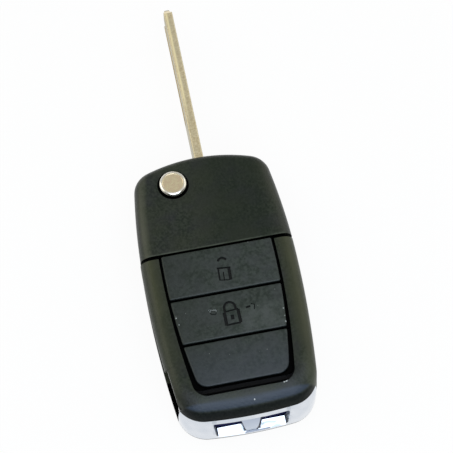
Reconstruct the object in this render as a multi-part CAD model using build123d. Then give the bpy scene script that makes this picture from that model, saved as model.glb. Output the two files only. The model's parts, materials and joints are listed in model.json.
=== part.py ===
from build123d import *
import math
import os

os.makedirs("parts", exist_ok=True)

# A folding car remote key, in millimetres. X runs across the key, Y towards the tip of the open
# blade, and Z out of the front face. The key lies on its back, and the origin is the middle of
# that face.

# Housing, outside
LENGTH = 70.6  # closed housing, from end to end
WIDTH = 38.3  # at the widest place
THICKNESS = 14.6
HEAD_LENGTH = 26.2  # from the top of the head to the middle of the seam
SEAM_GAP = 0.9
SEAM_GROOVE_DEPTH = 1.2  # deeper in, a lip of the remote section reaches up to the head
WIDEST_Y = 4.2
HEAD_BOW_R = 170.0  # the long sides are flat arcs, which meet at the widest place
REMOTE_BOW_R = 255.0
TOP_BOW_R = 42.0
END_BOW_R = 110.0
TOP_CORNER_R = 5.6
END_CORNER_R = 7.4
SIDE_EDGE_R = 3.0  # rounding of the front face into the sides
TOP_EDGE_R = 2.5
BACK_EDGE_R = 2.6
END_ROLL_LENGTH = 8.3  # the front face rolls down to the end over this length
END_ROLL_DEPTH = 11.5
WALL = 1.6
ROOF = 1.4  # wall behind the front face
FLOOR = 1.4  # wall behind the back face
FIT = 0.15  # between pieces that are only laid into each other

# Blade and its swing
BLADE_THICKNESS = 2.3
BLADE_WIDTH = 8.0
BLADE_TIP_GAP = 1.9  # from the folded blade's tip to the end trim
BLADE_CHAMFER = 0.25
BLADE_TIP_BEVEL = 2.5  # seen from the side
BLADE_TIP_TAPER = 0.55  # seen on its edge, each face closes in by this much
BLADE_TIP_TAPER_LENGTH = 2.0
BLADE_GROOVE_DEPTH = 0.5
BLADE_GROOVE_WIDTH = 2.8
BLADE_GROOVE_OFFSET = 1.8  # the two grooves lie above and below the blade's middle
BLADE_GROOVE_LENGTH = 34.0
BLADE_SHOULDER = 5.2  # the full-width blade starts this far above the pivot
TANG_WIDTH = 5.5
TANG_BELOW_PIVOT = 3.2
BLADE_DEPTH = 7.2  # from the front face to the blade's middle
PIVOT_X = -7.5
PIVOT_FROM_TOP = 7.45
BLADE_OFFSET = 8.1  # from the pivot to the blade's middle plane
SLOT_CLEARANCE = 0.25
CARRIER_CLEARANCE = 0.15
SWEEP_R = 10.2  # round space that the carrier turns in
HUB_R = 6.6
HUB_BORE_R = 4.7
HUB_KEYWAY_R = 5.4
HUB_KEYWAY_WIDTH = 2.4
HUB_STEP_ABOVE_POST = 0.4  # where the bore for the post ends and the keyed bore starts
SHANK_INNER = 4.0  # inner face of the shank, from the pivot
SHANK_SKIN = 0.05  # the shank stands this far outside the blade
SHANK_TAIL = 3.6
POST_R = 4.6
POST_HEIGHT = 2.45  # above the slot's floor
RUNNING_FIT = 0.05
ROLL_PIN_R = 0.8
ROLL_PIN_FIT = 0.05
ROLL_PIN_ABOVE_PIVOT = 1.0

# Release button
RELEASE_R = 3.45
RELEASE_PROUD = 1.3
RELEASE_RIM_R = 0.5
RELEASE_FLANGE_R = 4.5
RELEASE_LUG_R = 5.2
RELEASE_LUG_WIDTH = 2.0
RELEASE_FLANGE_THICKNESS = 0.8
RELEASE_FLANGE_DEPTH = 1.85  # from the front face to the flange's top
RELEASE_TRAVEL = 1.6
RELEASE_STEM_R = 1.6
RELEASE_STEM_CLEARANCE = 0.25  # left between the stem and the post, fully pressed
RELEASE_RECESS_R = 3.95
RELEASE_RECESS_DEPTH = 0.5
FLANGE_SPACE_R = 5.6
SPRING_R = 3.5
SPRING_WIRE_R = 0.4
SPRING_TURNS = 3.0

# Keypad
KEYPAD_X = -0.2  # its middle
OPENING_HALF = 14.45  # half the opening's width where the housing is widest
OPENING_BOW_R = 197.0  # its long sides are flat arcs too
OPENING_END = 7.3  # from the housing's end to the opening
OPENING_CORNER_R = 3.6
PAD_HALF = 13.87
PAD_BOW_R = 150.0
PAD_END = 9.45
PAD_CORNER_R = 3.0
PAD_TOP_REACH = 0.45  # the pad stands out of the frame by this much, into the seam
KEY_GAP = 0.5
UNLOCK_KEY_LENGTH = 11.8
BOOT_KEY_LENGTH = 10.85  # the lock key takes what these two leave
KEY_PROUD = 0.1
KEY_EDGE_R = 0.4
KEY_TRAVEL = 0.55
KEY_FLANGE_LIP = 0.45  # the flange reaches this far under the frame
KEY_FLANGE_THICKNESS = 0.5
KEY_FLANGE_GAP = 0.1
KEY_DOME_SPACE_R = 3.0
KEY_DOME_SPACE_DEPTH = 1.0
DOME_R = 2.2
DOME_HEIGHT = 0.9
MEMBRANE_THICKNESS = 0.6
MEMBRANE_RIM = 0.8

# Blade slot and hood
LINER_THICKNESS = 0.8
HOOD_BULGE = 0.15
HOOD_END = 15.9  # from the housing's end to where the hood stops
THUMB_CUT = 0.5  # below the hood the front edge is drawn in by this much

# End trim
TRIM_DEPTH = 4.2  # from the front face to the trim's front edge
TRIM_HEIGHT = 7.8
TRIM_REACH = 6.1  # how far the trim runs up the sides
TRIM_WALL = 2.3
WINDOW_TOP_INNER = 2.55
WINDOW_TOP_OUTER = 9.3
WINDOW_FOOT_INNER = 1.45
WINDOW_FOOT_OUTER = 8.7
WINDOW_TOP_DEPTH = 5.25  # from the front face
WINDOW_HEIGHT = 5.15
WINDOW_CORNER_R = 0.5
SILL_FALL = 0.8  # the windows' sills slope down by this much, through the wall
PILLAR_FLARE_R = 0.6  # the pillar widens at its top
PILLAR_SET_BACK = 0.35  # the pillar stands this far behind the end
POCKET_HALF = 9.6
POCKET_WALL_FROM_END = 7.5
POCKET_MARGIN = 0.2
DIVIDER = 0.8  # wall between the pocket and the board's bay

# Board, battery and what they carry
BATTERY_R = 10.0
BATTERY_HEIGHT = 3.2
BATTERY_STEP = 1.3  # the cell's can is drawn in by this much round its lower face
BATTERY_STEP_HEIGHT = 0.4
BATTERY_EDGE_R = 0.3
BATTERY_X = 1.5
BATTERY_FROM_END = 22.0
CONTACT_MINUS_THICKNESS = 0.35
CONTACT_MINUS_DISC_R = 5.0
CONTACT_MINUS_WIDTH = 3.0
CONTACT_MINUS_OFFSET = 9.5  # the strip beside the cell, from the cell's middle
CONTACT_PLUS_THICKNESS = 0.25
CONTACT_PLUS_WIDTH = 5.0
CONTACT_PLUS_REACH = 4.0  # past the cell's middle
CONTACT_TAB_WIDTH = 2.5
CONTACT_TAB_THICKNESS = 0.3
TRAY_PLATE = 1.0
TRAY_WALL = 0.9
NEST_WALL = 1.0
NEST_CLEARANCE = 0.2
NEST_ABOVE_FLOOR = 0.5
NEST_GAP_WIDTH = 8.0  # where the strip beside the cell comes out
NEST_GAP_BELOW = 3.0
BOARD_THICKNESS = 1.0
BOARD_INSET = 0.4  # from the bay's walls
SWITCH_SIZE = 5.0
SWITCH_CORNER = 0.5
SWITCH_BODY_HEIGHT = 1.2
SWITCH_PLUNGER_R = 1.3
SWITCH_HEIGHT = 1.7
CHIP_LENGTH = 7.0
CHIP_WIDTH = 4.4
CHIP_HEIGHT = 1.1
CHIP_STANDOFF = 0.1
CHIP_X = -6.5
CHIP_FROM_END = 16.5
CHIP_LEADS = 7
CHIP_LEAD_PITCH = 0.9
CHIP_LEAD_WIDTH = 0.4
CHIP_LEAD_REACH = 0.8
CHIP_LEAD_THICKNESS = 0.25
CRYSTAL_LENGTH = 6.0
CRYSTAL_WIDTH = 2.6
CRYSTAL_HEIGHT = 1.4
CRYSTAL_EDGE_R = 0.3
CRYSTAL_X = 6.0
CRYSTAL_FROM_END = 16.0
COIL_LENGTH = 9.0
COIL_WIDTH = 2.4
COIL_HEIGHT = 2.0
COIL_CHEEK = 0.9
COIL_WAIST = 0.3  # the winding lies this far inside the cheeks
COIL_X = 4.0
COIL_FROM_SEAM = 7.0
CAPACITOR_COUNT = 4
CAPACITOR_PITCH = 2.4
CAPACITOR_WIDTH = 1.2
CAPACITOR_LENGTH = 2.0
CAPACITOR_HEIGHT = 0.7
CAPACITORS_X = 8.0
CAPACITORS_FROM_END = 22.1

# Head, inside
HEAD_POCKET_WALL = 1.2
HEAD_ROOF = 1.6
PEG_R = 1.2
PEG_BOSS_R = 2.2
PEG_LENGTH = 3.0
PEG_FIT = 0.05
UPPER_PEG_FROM_SIDE = 8.6
UPPER_PEG_FROM_TOP = 6.6
LOWER_PEG_FROM_SIDE = 5.1
LOWER_PEGS_FROM_SEAM = 4.3
LEFT_PEG_FROM_PIVOT = 2.1
END_PEG_X = 11.0
END_PEG_FROM_END = 5.5
TRANSPONDER_LENGTH = 12.0
TRANSPONDER_WIDTH = 6.0
TRANSPONDER_THICKNESS = 3.0
TRANSPONDER_CORNER = 0.8
TRANSPONDER_X = 8.6
TRANSPONDER_FROM_TOP = 15.1
TONGUE_HALF = 4.0
TONGUE_LENGTH = 3.6
TONGUE_THICKNESS = 1.9
TONGUE_HEIGHT = 2.8  # its underside, above the back face

# Places that follow from the sizes
TOP_Y = LENGTH / 2
END_Y = -LENGTH / 2
SEAM_Y = TOP_Y - HEAD_LENGTH
HEAD_START_Y = SEAM_Y + SEAM_GAP / 2
REMOTE_START_Y = SEAM_Y - SEAM_GAP / 2
PIVOT_Y = TOP_Y - PIVOT_FROM_TOP
BLADE_X = PIVOT_X + BLADE_OFFSET
BLADE_Z = THICKNESS - BLADE_DEPTH
SPLIT_Z = BLADE_Z  # the front and back shells meet here
SLOT_LOW_Z = BLADE_Z - BLADE_WIDTH / 2 - SLOT_CLEARANCE
SLOT_HIGH_Z = BLADE_Z + BLADE_WIDTH / 2 + SLOT_CLEARANCE
BLADE_REACH = BLADE_OFFSET + BLADE_THICKNESS / 2  # outer face of the blade, from the pivot
HEAD_WALL_X = PIVOT_X + BLADE_REACH + SLOT_CLEARANCE
SLOT_INNER_X = PIVOT_X - (BLADE_OFFSET - BLADE_THICKNESS / 2) + SLOT_CLEARANCE + FIT
BAY_LEFT_X = SLOT_INNER_X + LINER_THICKNESS
TRIM_START_Y = END_Y + TRIM_REACH
TRIM_HIGH_Z = THICKNESS - TRIM_DEPTH
TRIM_LOW_Z = TRIM_HIGH_Z - TRIM_HEIGHT
WINDOW_HIGH_Z = THICKNESS - WINDOW_TOP_DEPTH
WINDOW_LOW_Z = WINDOW_HIGH_Z - WINDOW_HEIGHT
FOLDED_TIP_Y = TRIM_START_Y + BLADE_TIP_GAP
TIP_Y = 2 * PIVOT_Y - FOLDED_TIP_Y
LINER_END_Y = (FOLDED_TIP_Y + TRIM_START_Y) / 2
POCKET_BACK_Y = END_Y + POCKET_WALL_FROM_END
BAY_LOW_Y = POCKET_BACK_Y + DIVIDER
BAY_HIGH_Y = REMOTE_START_Y - WALL
ROOF_Z = THICKNESS - ROOF
OPENING_END_Y = END_Y + OPENING_END
PAD_END_Y = END_Y + PAD_END
PAD_TOP_Y = REMOTE_START_Y + PAD_TOP_REACH
KEY_TOP_Z = THICKNESS + KEY_PROUD
KEY_FLANGE_TOP_Z = ROOF_Z - KEY_FLANGE_GAP
KEY_LOW_Z = KEY_FLANGE_TOP_Z - KEY_FLANGE_THICKNESS
KEY_SPACE_LOW_Z = KEY_LOW_Z - KEY_TRAVEL - KEY_FLANGE_GAP
BATTERY_LOW_Z = FLOOR + CONTACT_MINUS_THICKNESS
BATTERY_TOP_Z = BATTERY_LOW_Z + BATTERY_HEIGHT
TRAY_PLATE_Z = BATTERY_TOP_Z + CONTACT_PLUS_THICKNESS
MEMBRANE_TOP_Z = KEY_LOW_Z - KEY_TRAVEL - FIT
MEMBRANE_LOW_Z = MEMBRANE_TOP_Z - MEMBRANE_THICKNESS
BOARD_TOP_Z = MEMBRANE_LOW_Z - SWITCH_HEIGHT
BOARD_LOW_Z = BOARD_TOP_Z - BOARD_THICKNESS
HUB_LOW_Z = SLOT_LOW_Z + CARRIER_CLEARANCE
HUB_HIGH_Z = SLOT_HIGH_Z - CARRIER_CLEARANCE
POST_TOP_Z = SLOT_LOW_Z + POST_HEIGHT
FLANGE_TOP_Z = THICKNESS - RELEASE_FLANGE_DEPTH
FLANGE_LOW_Z = FLANGE_TOP_Z - RELEASE_FLANGE_THICKNESS
BATTERY_Y = END_Y + BATTERY_FROM_END
CHIP_Y = END_Y + CHIP_FROM_END
CRYSTAL_Y = END_Y + CRYSTAL_FROM_END
CAPACITORS_Y = END_Y + CAPACITORS_FROM_END
COIL_Y = SEAM_Y - COIL_FROM_SEAM
TRANSPONDER_Y = TOP_Y - TRANSPONDER_FROM_TOP
CONTACT_TAB_Y = BAY_HIGH_Y - FIT - TRAY_WALL - FIT  # face of the tabs towards the seam
PAST = 1.0  # a cut starts this far outside the face that it opens
FAR = 200.0  # reaches past everything


# Simple solids, by their limits
def block(x0, x1, y0, y1, z0, z1):
    place = Pos((x0 + x1) / 2, (y0 + y1) / 2, (z0 + z1) / 2)
    return place * Box(x1 - x0, y1 - y0, z1 - z0)


def disc(x, y, radius, z0, z1):
    return Pos(x, y, (z0 + z1) / 2) * Cylinder(radius, z1 - z0)


def prism(face, z0, z1):
    return extrude(Pos(0, 0, z0) * face, z1 - z0)


# The housing's plan outline: two side arcs, a top arc and an end arc, with rounded corners
def arcs_meet(centre_a, radius_a, centre_b, radius_b):
    """Right-hand point where two circles cross."""
    across = math.hypot(centre_b[0] - centre_a[0], centre_b[1] - centre_a[1])
    along = (radius_a**2 - radius_b**2 + across**2) / (2 * across)
    rise = math.sqrt(radius_a**2 - along**2)
    unit_x = (centre_b[0] - centre_a[0]) / across
    unit_y = (centre_b[1] - centre_a[1]) / across
    foot_x = centre_a[0] + along * unit_x
    foot_y = centre_a[1] + along * unit_y
    points = [(foot_x - side * rise * unit_y, foot_y + side * rise * unit_x) for side in (1, -1)]
    return max(points, key=lambda point: point[0])


def outline(side, top, end, top_corner=TOP_CORNER_R, end_corner=END_CORNER_R):
    """Plan outline, drawn in by an amount at the sides, at the top and at the end."""
    head_centre = (WIDTH / 2 - HEAD_BOW_R, WIDEST_Y)
    remote_centre = (WIDTH / 2 - REMOTE_BOW_R, WIDEST_Y)
    top_centre = (0, TOP_Y - TOP_BOW_R)
    end_centre = (0, END_Y + END_BOW_R)
    upper = arcs_meet(head_centre, HEAD_BOW_R - side, top_centre, TOP_BOW_R - top)
    lower = arcs_meet(remote_centre, REMOTE_BOW_R - side, end_centre, END_BOW_R - end)
    upper_left = (-upper[0], upper[1])
    lower_left = (-lower[0], lower[1])
    widest = (WIDTH / 2 - side, WIDEST_Y)
    widest_left = (-widest[0], WIDEST_Y)
    edges = [
        ThreePointArc(upper_left, (0, TOP_Y - top), upper),
        TangentArc(widest, upper, tangent=(0, 1)),
        TangentArc(widest, lower, tangent=(0, -1)),
        ThreePointArc(lower, (0, END_Y + end), lower_left),
        TangentArc(widest_left, lower_left, tangent=(0, -1)),
        TangentArc(widest_left, upper_left, tangent=(0, 1)),
    ]
    face = make_face(edges)
    face = fillet(face.vertices().sort_by(Axis.Y)[-2:], top_corner)
    return fillet(face.vertices().sort_by(Axis.Y)[:2], end_corner)


# How far the wall is drawn in, at a depth below the front face
def edge_draw(depth, radius):
    if depth >= radius:
        return 0.0
    return radius - math.sqrt(radius**2 - (radius - depth) ** 2)


def end_draw(depth):
    if depth >= END_ROLL_DEPTH:
        return 0.0
    share = (END_ROLL_DEPTH - depth) / END_ROLL_DEPTH
    return END_ROLL_LENGTH * (1 - math.sqrt(1 - share**2))


def envelope(bulge=0.0):
    """The whole closed housing, lofted through plan outlines from the front face to the back."""
    front_steps = [0, 0.03, 0.13, 0.3, 0.53, 0.77, 1.0]
    back_steps = [1.0, 0.62, 0.29, 0.08, 0]
    depths = [SIDE_EDGE_R * step for step in front_steps]
    middle = [TRIM_DEPTH, 0.55 * END_ROLL_DEPTH, 0.76 * END_ROLL_DEPTH, END_ROLL_DEPTH]
    depths += [depth for depth in middle if SIDE_EDGE_R < depth < THICKNESS - BACK_EDGE_R]
    depths += [THICKNESS - BACK_EDGE_R * step for step in back_steps]
    sections = []
    for depth in depths:
        back = edge_draw(THICKNESS - depth, BACK_EDGE_R)
        side = max(edge_draw(depth, SIDE_EDGE_R), back)
        top = max(edge_draw(depth, TOP_EDGE_R), back)
        end = max(end_draw(depth), back)
        top_corner = TOP_CORNER_R - 0.8 * top
        end_corner = END_CORNER_R - 0.5 * side
        section = outline(side - bulge, top, end, top_corner, end_corner)
        sections.append(Pos(0, 0, THICKNESS - depth) * section)
    return loft(sections)


HOUSING = envelope()
FRONT_HALF = block(-FAR, FAR, -FAR, FAR, SPLIT_Z, FAR)
BACK_HALF = block(-FAR, FAR, -FAR, FAR, -FAR, SPLIT_Z)
HEAD_ZONE = block(-FAR, FAR, HEAD_START_Y, FAR, -FAR, FAR)
REMOTE_ZONE = block(-FAR, FAR, -FAR, REMOTE_START_Y, -FAR, FAR)


# Head
def swing_space():
    """Room for the carrier and the blade, open along the top and the left side."""
    space = disc(PIVOT_X, PIVOT_Y, SWEEP_R, SLOT_LOW_Z, SLOT_HIGH_Z)
    space += block(-FAR, HEAD_WALL_X, PIVOT_Y, FAR, SLOT_LOW_Z, SLOT_HIGH_Z)
    space += block(-FAR, SLOT_INNER_X, -FAR, PIVOT_Y, SLOT_LOW_Z, SLOT_HIGH_Z)
    return space


def head_pocket():
    """Hollow beside the swing space, which holds the transponder."""
    inside = outline(WALL, WALL + HEAD_POCKET_WALL, 0)
    low_y = HEAD_START_Y + WALL
    left_x = SLOT_INNER_X + HEAD_POCKET_WALL
    pocket = prism(inside, HEAD_ROOF, THICKNESS - HEAD_ROOF)
    pocket &= block(left_x, FAR, low_y, FAR, -FAR, FAR)
    pocket -= disc(PIVOT_X, PIVOT_Y, SWEEP_R + HEAD_POCKET_WALL, -FAR, FAR)
    pocket -= block(-FAR, HEAD_WALL_X + HEAD_POCKET_WALL, PIVOT_Y, FAR, -FAR, FAR)
    return pocket


def peg_places():
    low_y = SEAM_Y + LOWER_PEGS_FROM_SEAM
    return [
        (WIDTH / 2 - UPPER_PEG_FROM_SIDE, TOP_Y - UPPER_PEG_FROM_TOP),
        (WIDTH / 2 - LOWER_PEG_FROM_SIDE, low_y),
        (PIVOT_X - LEFT_PEG_FROM_PIVOT, low_y),
    ]


def head_front_cover():
    cover = HOUSING & HEAD_ZONE & FRONT_HALF
    cover -= swing_space()
    cover -= head_pocket()
    flange_space_top = FLANGE_TOP_Z + FIT
    cover -= disc(PIVOT_X, PIVOT_Y, FLANGE_SPACE_R, SLOT_HIGH_Z - PAST, flange_space_top)
    cover -= disc(PIVOT_X, PIVOT_Y, RELEASE_R + RUNNING_FIT, SLOT_HIGH_Z, FAR)
    recess_floor = THICKNESS - RELEASE_RECESS_DEPTH
    cover -= disc(PIVOT_X, PIVOT_Y, RELEASE_RECESS_R, recess_floor, FAR)
    for x, y in peg_places():
        cover += disc(x, y, PEG_BOSS_R, SPLIT_Z, THICKNESS - HEAD_ROOF)
        cover += disc(x, y, PEG_R, SPLIT_Z - PEG_LENGTH, SPLIT_Z)
    return cover


def head_rear_cover():
    cover = HOUSING & HEAD_ZONE & BACK_HALF
    cover -= swing_space()
    cover -= head_pocket()
    cover += disc(PIVOT_X, PIVOT_Y, POST_R, SLOT_LOW_Z, POST_TOP_Z)
    for x, y in peg_places():
        cover += disc(x, y, PEG_BOSS_R, HEAD_ROOF, SPLIT_Z)
        cover -= disc(x, y, PEG_R + PEG_FIT, SPLIT_Z - PEG_LENGTH - FIT, SPLIT_Z)
    tongue_top = TONGUE_HEIGHT + TONGUE_THICKNESS
    tongue_end = HEAD_START_Y - TONGUE_LENGTH
    cover += block(-TONGUE_HALF, TONGUE_HALF, tongue_end, HEAD_START_Y, TONGUE_HEIGHT, tongue_top)
    return cover


def transponder_chip():
    half_x = TRANSPONDER_WIDTH / 2
    half_y = TRANSPONDER_LENGTH / 2
    chip = block(-half_x, half_x, -half_y, half_y, 0, TRANSPONDER_THICKNESS)
    chip = chamfer(chip.edges().filter_by(Axis.Z), TRANSPONDER_CORNER)
    return Pos(TRANSPONDER_X, TRANSPONDER_Y, HEAD_ROOF) * chip


# Blade, carrier and release button
def blade_bar():
    """The blade as a bar with chamfered edges, and its tip closed in both ways."""
    half = BLADE_THICKNESS / 2
    half_z = BLADE_WIDTH / 2
    shoulder_y = PIVOT_Y + BLADE_SHOULDER
    bar = block(-half, half, shoulder_y, TIP_Y, -half_z, half_z)
    bar = chamfer(bar.edges().filter_by(Axis.Y), BLADE_CHAMFER)
    tip_half = half - BLADE_TIP_TAPER
    taper_y = TIP_Y - BLADE_TIP_TAPER_LENGTH
    right_side = [(tip_half, TIP_Y), (half, taper_y), (half, shoulder_y)]
    left_side = [(-x, y) for x, y in reversed(right_side)]
    bar &= prism(make_face(Polyline(right_side + left_side, close=True)), -half_z, half_z)
    bevel_y = TIP_Y - BLADE_TIP_BEVEL
    front_edge = [(TIP_Y, half_z - BLADE_TIP_BEVEL), (bevel_y, half_z), (shoulder_y, half_z)]
    back_edge = [(y, -z) for y, z in reversed(front_edge)]
    side_view = make_face(Plane.YZ * Polyline(front_edge + back_edge, close=True))
    return bar & extrude(side_view, half, both=True)


def key_blade():
    half = BLADE_THICKNESS / 2
    blade = Pos(BLADE_X, 0, BLADE_Z) * blade_bar()
    groove_floor = half - BLADE_GROOVE_DEPTH
    groove_y = TIP_Y - BLADE_GROOVE_LENGTH
    groove_low = BLADE_GROOVE_OFFSET - BLADE_GROOVE_WIDTH / 2
    groove_high = BLADE_GROOVE_OFFSET + BLADE_GROOVE_WIDTH / 2
    groove = block(groove_floor, half + PAST, groove_y, FAR, groove_low, groove_high)
    for turn in (0, 180):
        blade -= Pos(BLADE_X, 0, BLADE_Z) * Rot(0, turn, 0) * groove
    tang_low = BLADE_Z - TANG_WIDTH / 2
    tang_high = BLADE_Z + TANG_WIDTH / 2
    tang_end = PIVOT_Y - TANG_BELOW_PIVOT
    tang_start = PIVOT_Y + BLADE_SHOULDER
    blade += block(BLADE_X - half, BLADE_X + half, tang_end, tang_start, tang_low, tang_high)
    return blade - roll_pin(ROLL_PIN_FIT)


def roll_pin(extra=0.0):
    x0 = PIVOT_X + HUB_KEYWAY_R + FIT
    x1 = PIVOT_X + BLADE_REACH
    pin = Pos((x0 + x1) / 2, PIVOT_Y + ROLL_PIN_ABOVE_PIVOT, BLADE_Z) * Rot(0, 90, 0)
    return pin * Cylinder(ROLL_PIN_R + extra, x1 - x0)


def key_cross(radius, lug_radius, lug_width, z0, z1):
    """Disc with four lugs, round the pivot."""
    shape = disc(PIVOT_X, PIVOT_Y, radius, z0, z1)
    lugs = block(-lug_radius, lug_radius, -lug_width / 2, lug_width / 2, z0, z1)
    lugs += block(-lug_width / 2, lug_width / 2, -lug_radius, lug_radius, z0, z1)
    return shape + Pos(PIVOT_X, PIVOT_Y, 0) * lugs


def blade_carrier():
    carrier = disc(PIVOT_X, PIVOT_Y, HUB_R, HUB_LOW_Z, HUB_HIGH_Z)
    outer_x = PIVOT_X + BLADE_REACH + SHANK_SKIN
    shank = block(
        PIVOT_X + SHANK_INNER,
        outer_x,
        PIVOT_Y - SHANK_TAIL,
        PIVOT_Y + BLADE_SHOULDER,
        HUB_LOW_Z,
        HUB_HIGH_Z,
    )
    turning = disc(PIVOT_X, PIVOT_Y, SWEEP_R - CARRIER_CLEARANCE, HUB_LOW_Z, HUB_HIGH_Z)
    turning += block(PIVOT_X, FAR, PIVOT_Y, FAR, HUB_LOW_Z, HUB_HIGH_Z)
    carrier += shank & turning
    step_z = POST_TOP_Z + HUB_STEP_ABOVE_POST
    carrier -= key_cross(HUB_BORE_R, HUB_KEYWAY_R, HUB_KEYWAY_WIDTH, step_z, HUB_HIGH_Z)
    carrier -= disc(PIVOT_X, PIVOT_Y, POST_R + RUNNING_FIT, HUB_LOW_Z, step_z)
    seat_low = BLADE_Z - TANG_WIDTH / 2
    seat_high = BLADE_Z + TANG_WIDTH / 2
    seat_x = BLADE_X - BLADE_THICKNESS / 2
    seat_y = PIVOT_Y - TANG_BELOW_PIVOT
    carrier -= block(seat_x, FAR, seat_y, FAR, seat_low, seat_high)
    return carrier - roll_pin(ROLL_PIN_FIT)


def release_button():
    cap_top = THICKNESS + RELEASE_PROUD
    cap = disc(PIVOT_X, PIVOT_Y, RELEASE_R, FLANGE_TOP_Z, cap_top)
    cap = fillet(cap.edges().group_by(Axis.Z)[-1], RELEASE_RIM_R)
    flange = key_cross(
        RELEASE_FLANGE_R, RELEASE_LUG_R, RELEASE_LUG_WIDTH, FLANGE_LOW_Z, FLANGE_TOP_Z
    )
    stem_low = POST_TOP_Z + RELEASE_TRAVEL + RELEASE_STEM_CLEARANCE
    stem = disc(PIVOT_X, PIVOT_Y, RELEASE_STEM_R, stem_low, FLANGE_LOW_Z)
    return cap + flange + stem


def flip_spring():
    low_z = POST_TOP_Z + SPRING_WIRE_R
    height = FLANGE_LOW_Z - SPRING_WIRE_R - low_z
    path = Helix(height / SPRING_TURNS, height, SPRING_R)
    start = Plane(path @ 0, z_dir=path % 0)
    spring = sweep(start * Circle(SPRING_WIRE_R), path=path, is_frenet=True)
    return Pos(PIVOT_X, PIVOT_Y, low_z) * spring


# Remote section
def bowed_face(half, bow_r, high_y, low_y, corner_r):
    """Plan of the keypad or its opening: bowed sides, widest where the housing is widest."""

    def side_x(y):
        return half - bow_r + math.sqrt(bow_r**2 - (y - WIDEST_Y) ** 2)

    heights = (high_y, (high_y + low_y) / 2, low_y)
    right_side = [(side_x(y), y) for y in heights]
    left_side = [(-x, y) for x, y in reversed(right_side)]
    edges = [
        ThreePointArc(*right_side),
        Line(right_side[-1], left_side[0]),
        ThreePointArc(*left_side),
        Line(left_side[-1], right_side[0]),
    ]
    face = Pos(KEYPAD_X, 0) * make_face(edges)
    return fillet(face.vertices().sort_by(Axis.Y)[:2], corner_r)


def opening_face(low_y, extra=0.0):
    high_y = REMOTE_START_Y + PAST
    return bowed_face(OPENING_HALF + extra, OPENING_BOW_R, high_y, low_y, OPENING_CORNER_R)


def bay(clearance, z0, z1):
    """The board's bay, or a piece that fits in it with a clearance all round."""
    inside = prism(outline(WALL + clearance, 0, 0), z0, z1)
    limits = block(
        BAY_LEFT_X + clearance, FAR, BAY_LOW_Y + clearance, BAY_HIGH_Y - clearance, z0, z1
    )
    return inside & limits


def trim_blank():
    """The ring round the end that the trim fills, inside and outside the housing's wall."""
    sections = []
    for share in (-0.1, 0.3, 0.65, 1.1):
        depth = TRIM_DEPTH + share * TRIM_HEIGHT
        core = outline(TRIM_WALL, 0, end_draw(depth) + TRIM_WALL)
        sections.append(Pos(0, 0, THICKNESS - depth) * core)
    ring = block(-FAR, FAR, -FAR, TRIM_START_Y, TRIM_LOW_Z, TRIM_HIGH_Z)
    return ring - loft(sections)


def ring_pocket():
    """Space behind the trim's windows, which a key ring passes through."""
    low_z = WINDOW_LOW_Z - POCKET_MARGIN
    high_z = WINDOW_HIGH_Z + POCKET_MARGIN
    return block(-POCKET_HALF, POCKET_HALF, -FAR, POCKET_BACK_Y, low_z, high_z)


def slot_space():
    """Blade slot in the remote section, with the room that the liner fills."""
    return block(-FAR, BAY_LEFT_X, TRIM_START_Y, FAR, SLOT_LOW_Z, SLOT_HIGH_Z)


def end_peg_places():
    y = END_Y + END_PEG_FROM_END
    return [(-END_PEG_X, y), (END_PEG_X, y)]


def seam_lip():
    """Lip that closes the seam further in, so that only a groove is seen."""
    depth = SEAM_GROOVE_DEPTH
    lip = prism(outline(depth, 0, 0), depth, THICKNESS - depth)
    return lip & block(-FAR, FAR, REMOTE_START_Y, HEAD_START_Y - FIT, -FAR, FAR)


def front_frame():
    frame = HOUSING & REMOTE_ZONE & FRONT_HALF
    frame += seam_lip() & FRONT_HALF
    hood_zone = block(-FAR, 0, END_Y + HOOD_END, REMOTE_START_Y, SLOT_HIGH_Z, FAR)
    frame += envelope(HOOD_BULGE) & hood_zone
    frame -= trim_blank()
    frame -= bay(0, SPLIT_Z - PAST, ROOF_Z)
    frame -= slot_space()
    frame -= ring_pocket()
    frame -= prism(opening_face(OPENING_END_Y), KEY_SPACE_LOW_Z, FAR)
    frame -= prism(opening_face(BAY_LOW_Y, KEY_FLANGE_LIP + FIT), KEY_SPACE_LOW_Z, ROOF_Z)
    thumb_zone = block(-FAR, 0, TRIM_START_Y, END_Y + HOOD_END, SLOT_HIGH_Z - PAST, FAR)
    frame -= thumb_zone - prism(outline(THUMB_CUT, 0, 0), -FAR, FAR)
    for x, y in end_peg_places():
        frame += disc(x, y, PEG_R, SPLIT_Z - PEG_LENGTH, SPLIT_Z)
    return frame


def rear_cover():
    cover = HOUSING & REMOTE_ZONE & BACK_HALF
    cover += seam_lip() & BACK_HALF
    cover -= trim_blank()
    cover -= bay(0, FLOOR, SPLIT_Z + PAST)
    cover -= slot_space()
    cover -= ring_pocket()
    for x, y in end_peg_places():
        cover -= disc(x, y, PEG_R + PEG_FIT, SPLIT_Z - PEG_LENGTH - FIT, SPLIT_Z)
    return cover - tongue_socket()


def tongue_socket():
    half = TONGUE_HALF + FIT
    low_z = TONGUE_HEIGHT - FIT
    high_z = TONGUE_HEIGHT + TONGUE_THICKNESS + FIT
    return block(-half, half, HEAD_START_Y - TONGUE_LENGTH - FIT, FAR, low_z, high_z)


def blade_slot_liner():
    liner = block(
        SLOT_INNER_X, BAY_LEFT_X, TRIM_START_Y, REMOTE_START_Y, SLOT_LOW_Z, SLOT_HIGH_Z
    )
    stop = block(-FAR, SLOT_INNER_X, TRIM_START_Y, LINER_END_Y, SLOT_LOW_Z, SLOT_HIGH_Z)
    inside = prism(outline(THUMB_CUT, 0, 0), SLOT_LOW_Z, SLOT_HIGH_Z)
    return liner + (stop & inside)


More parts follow.
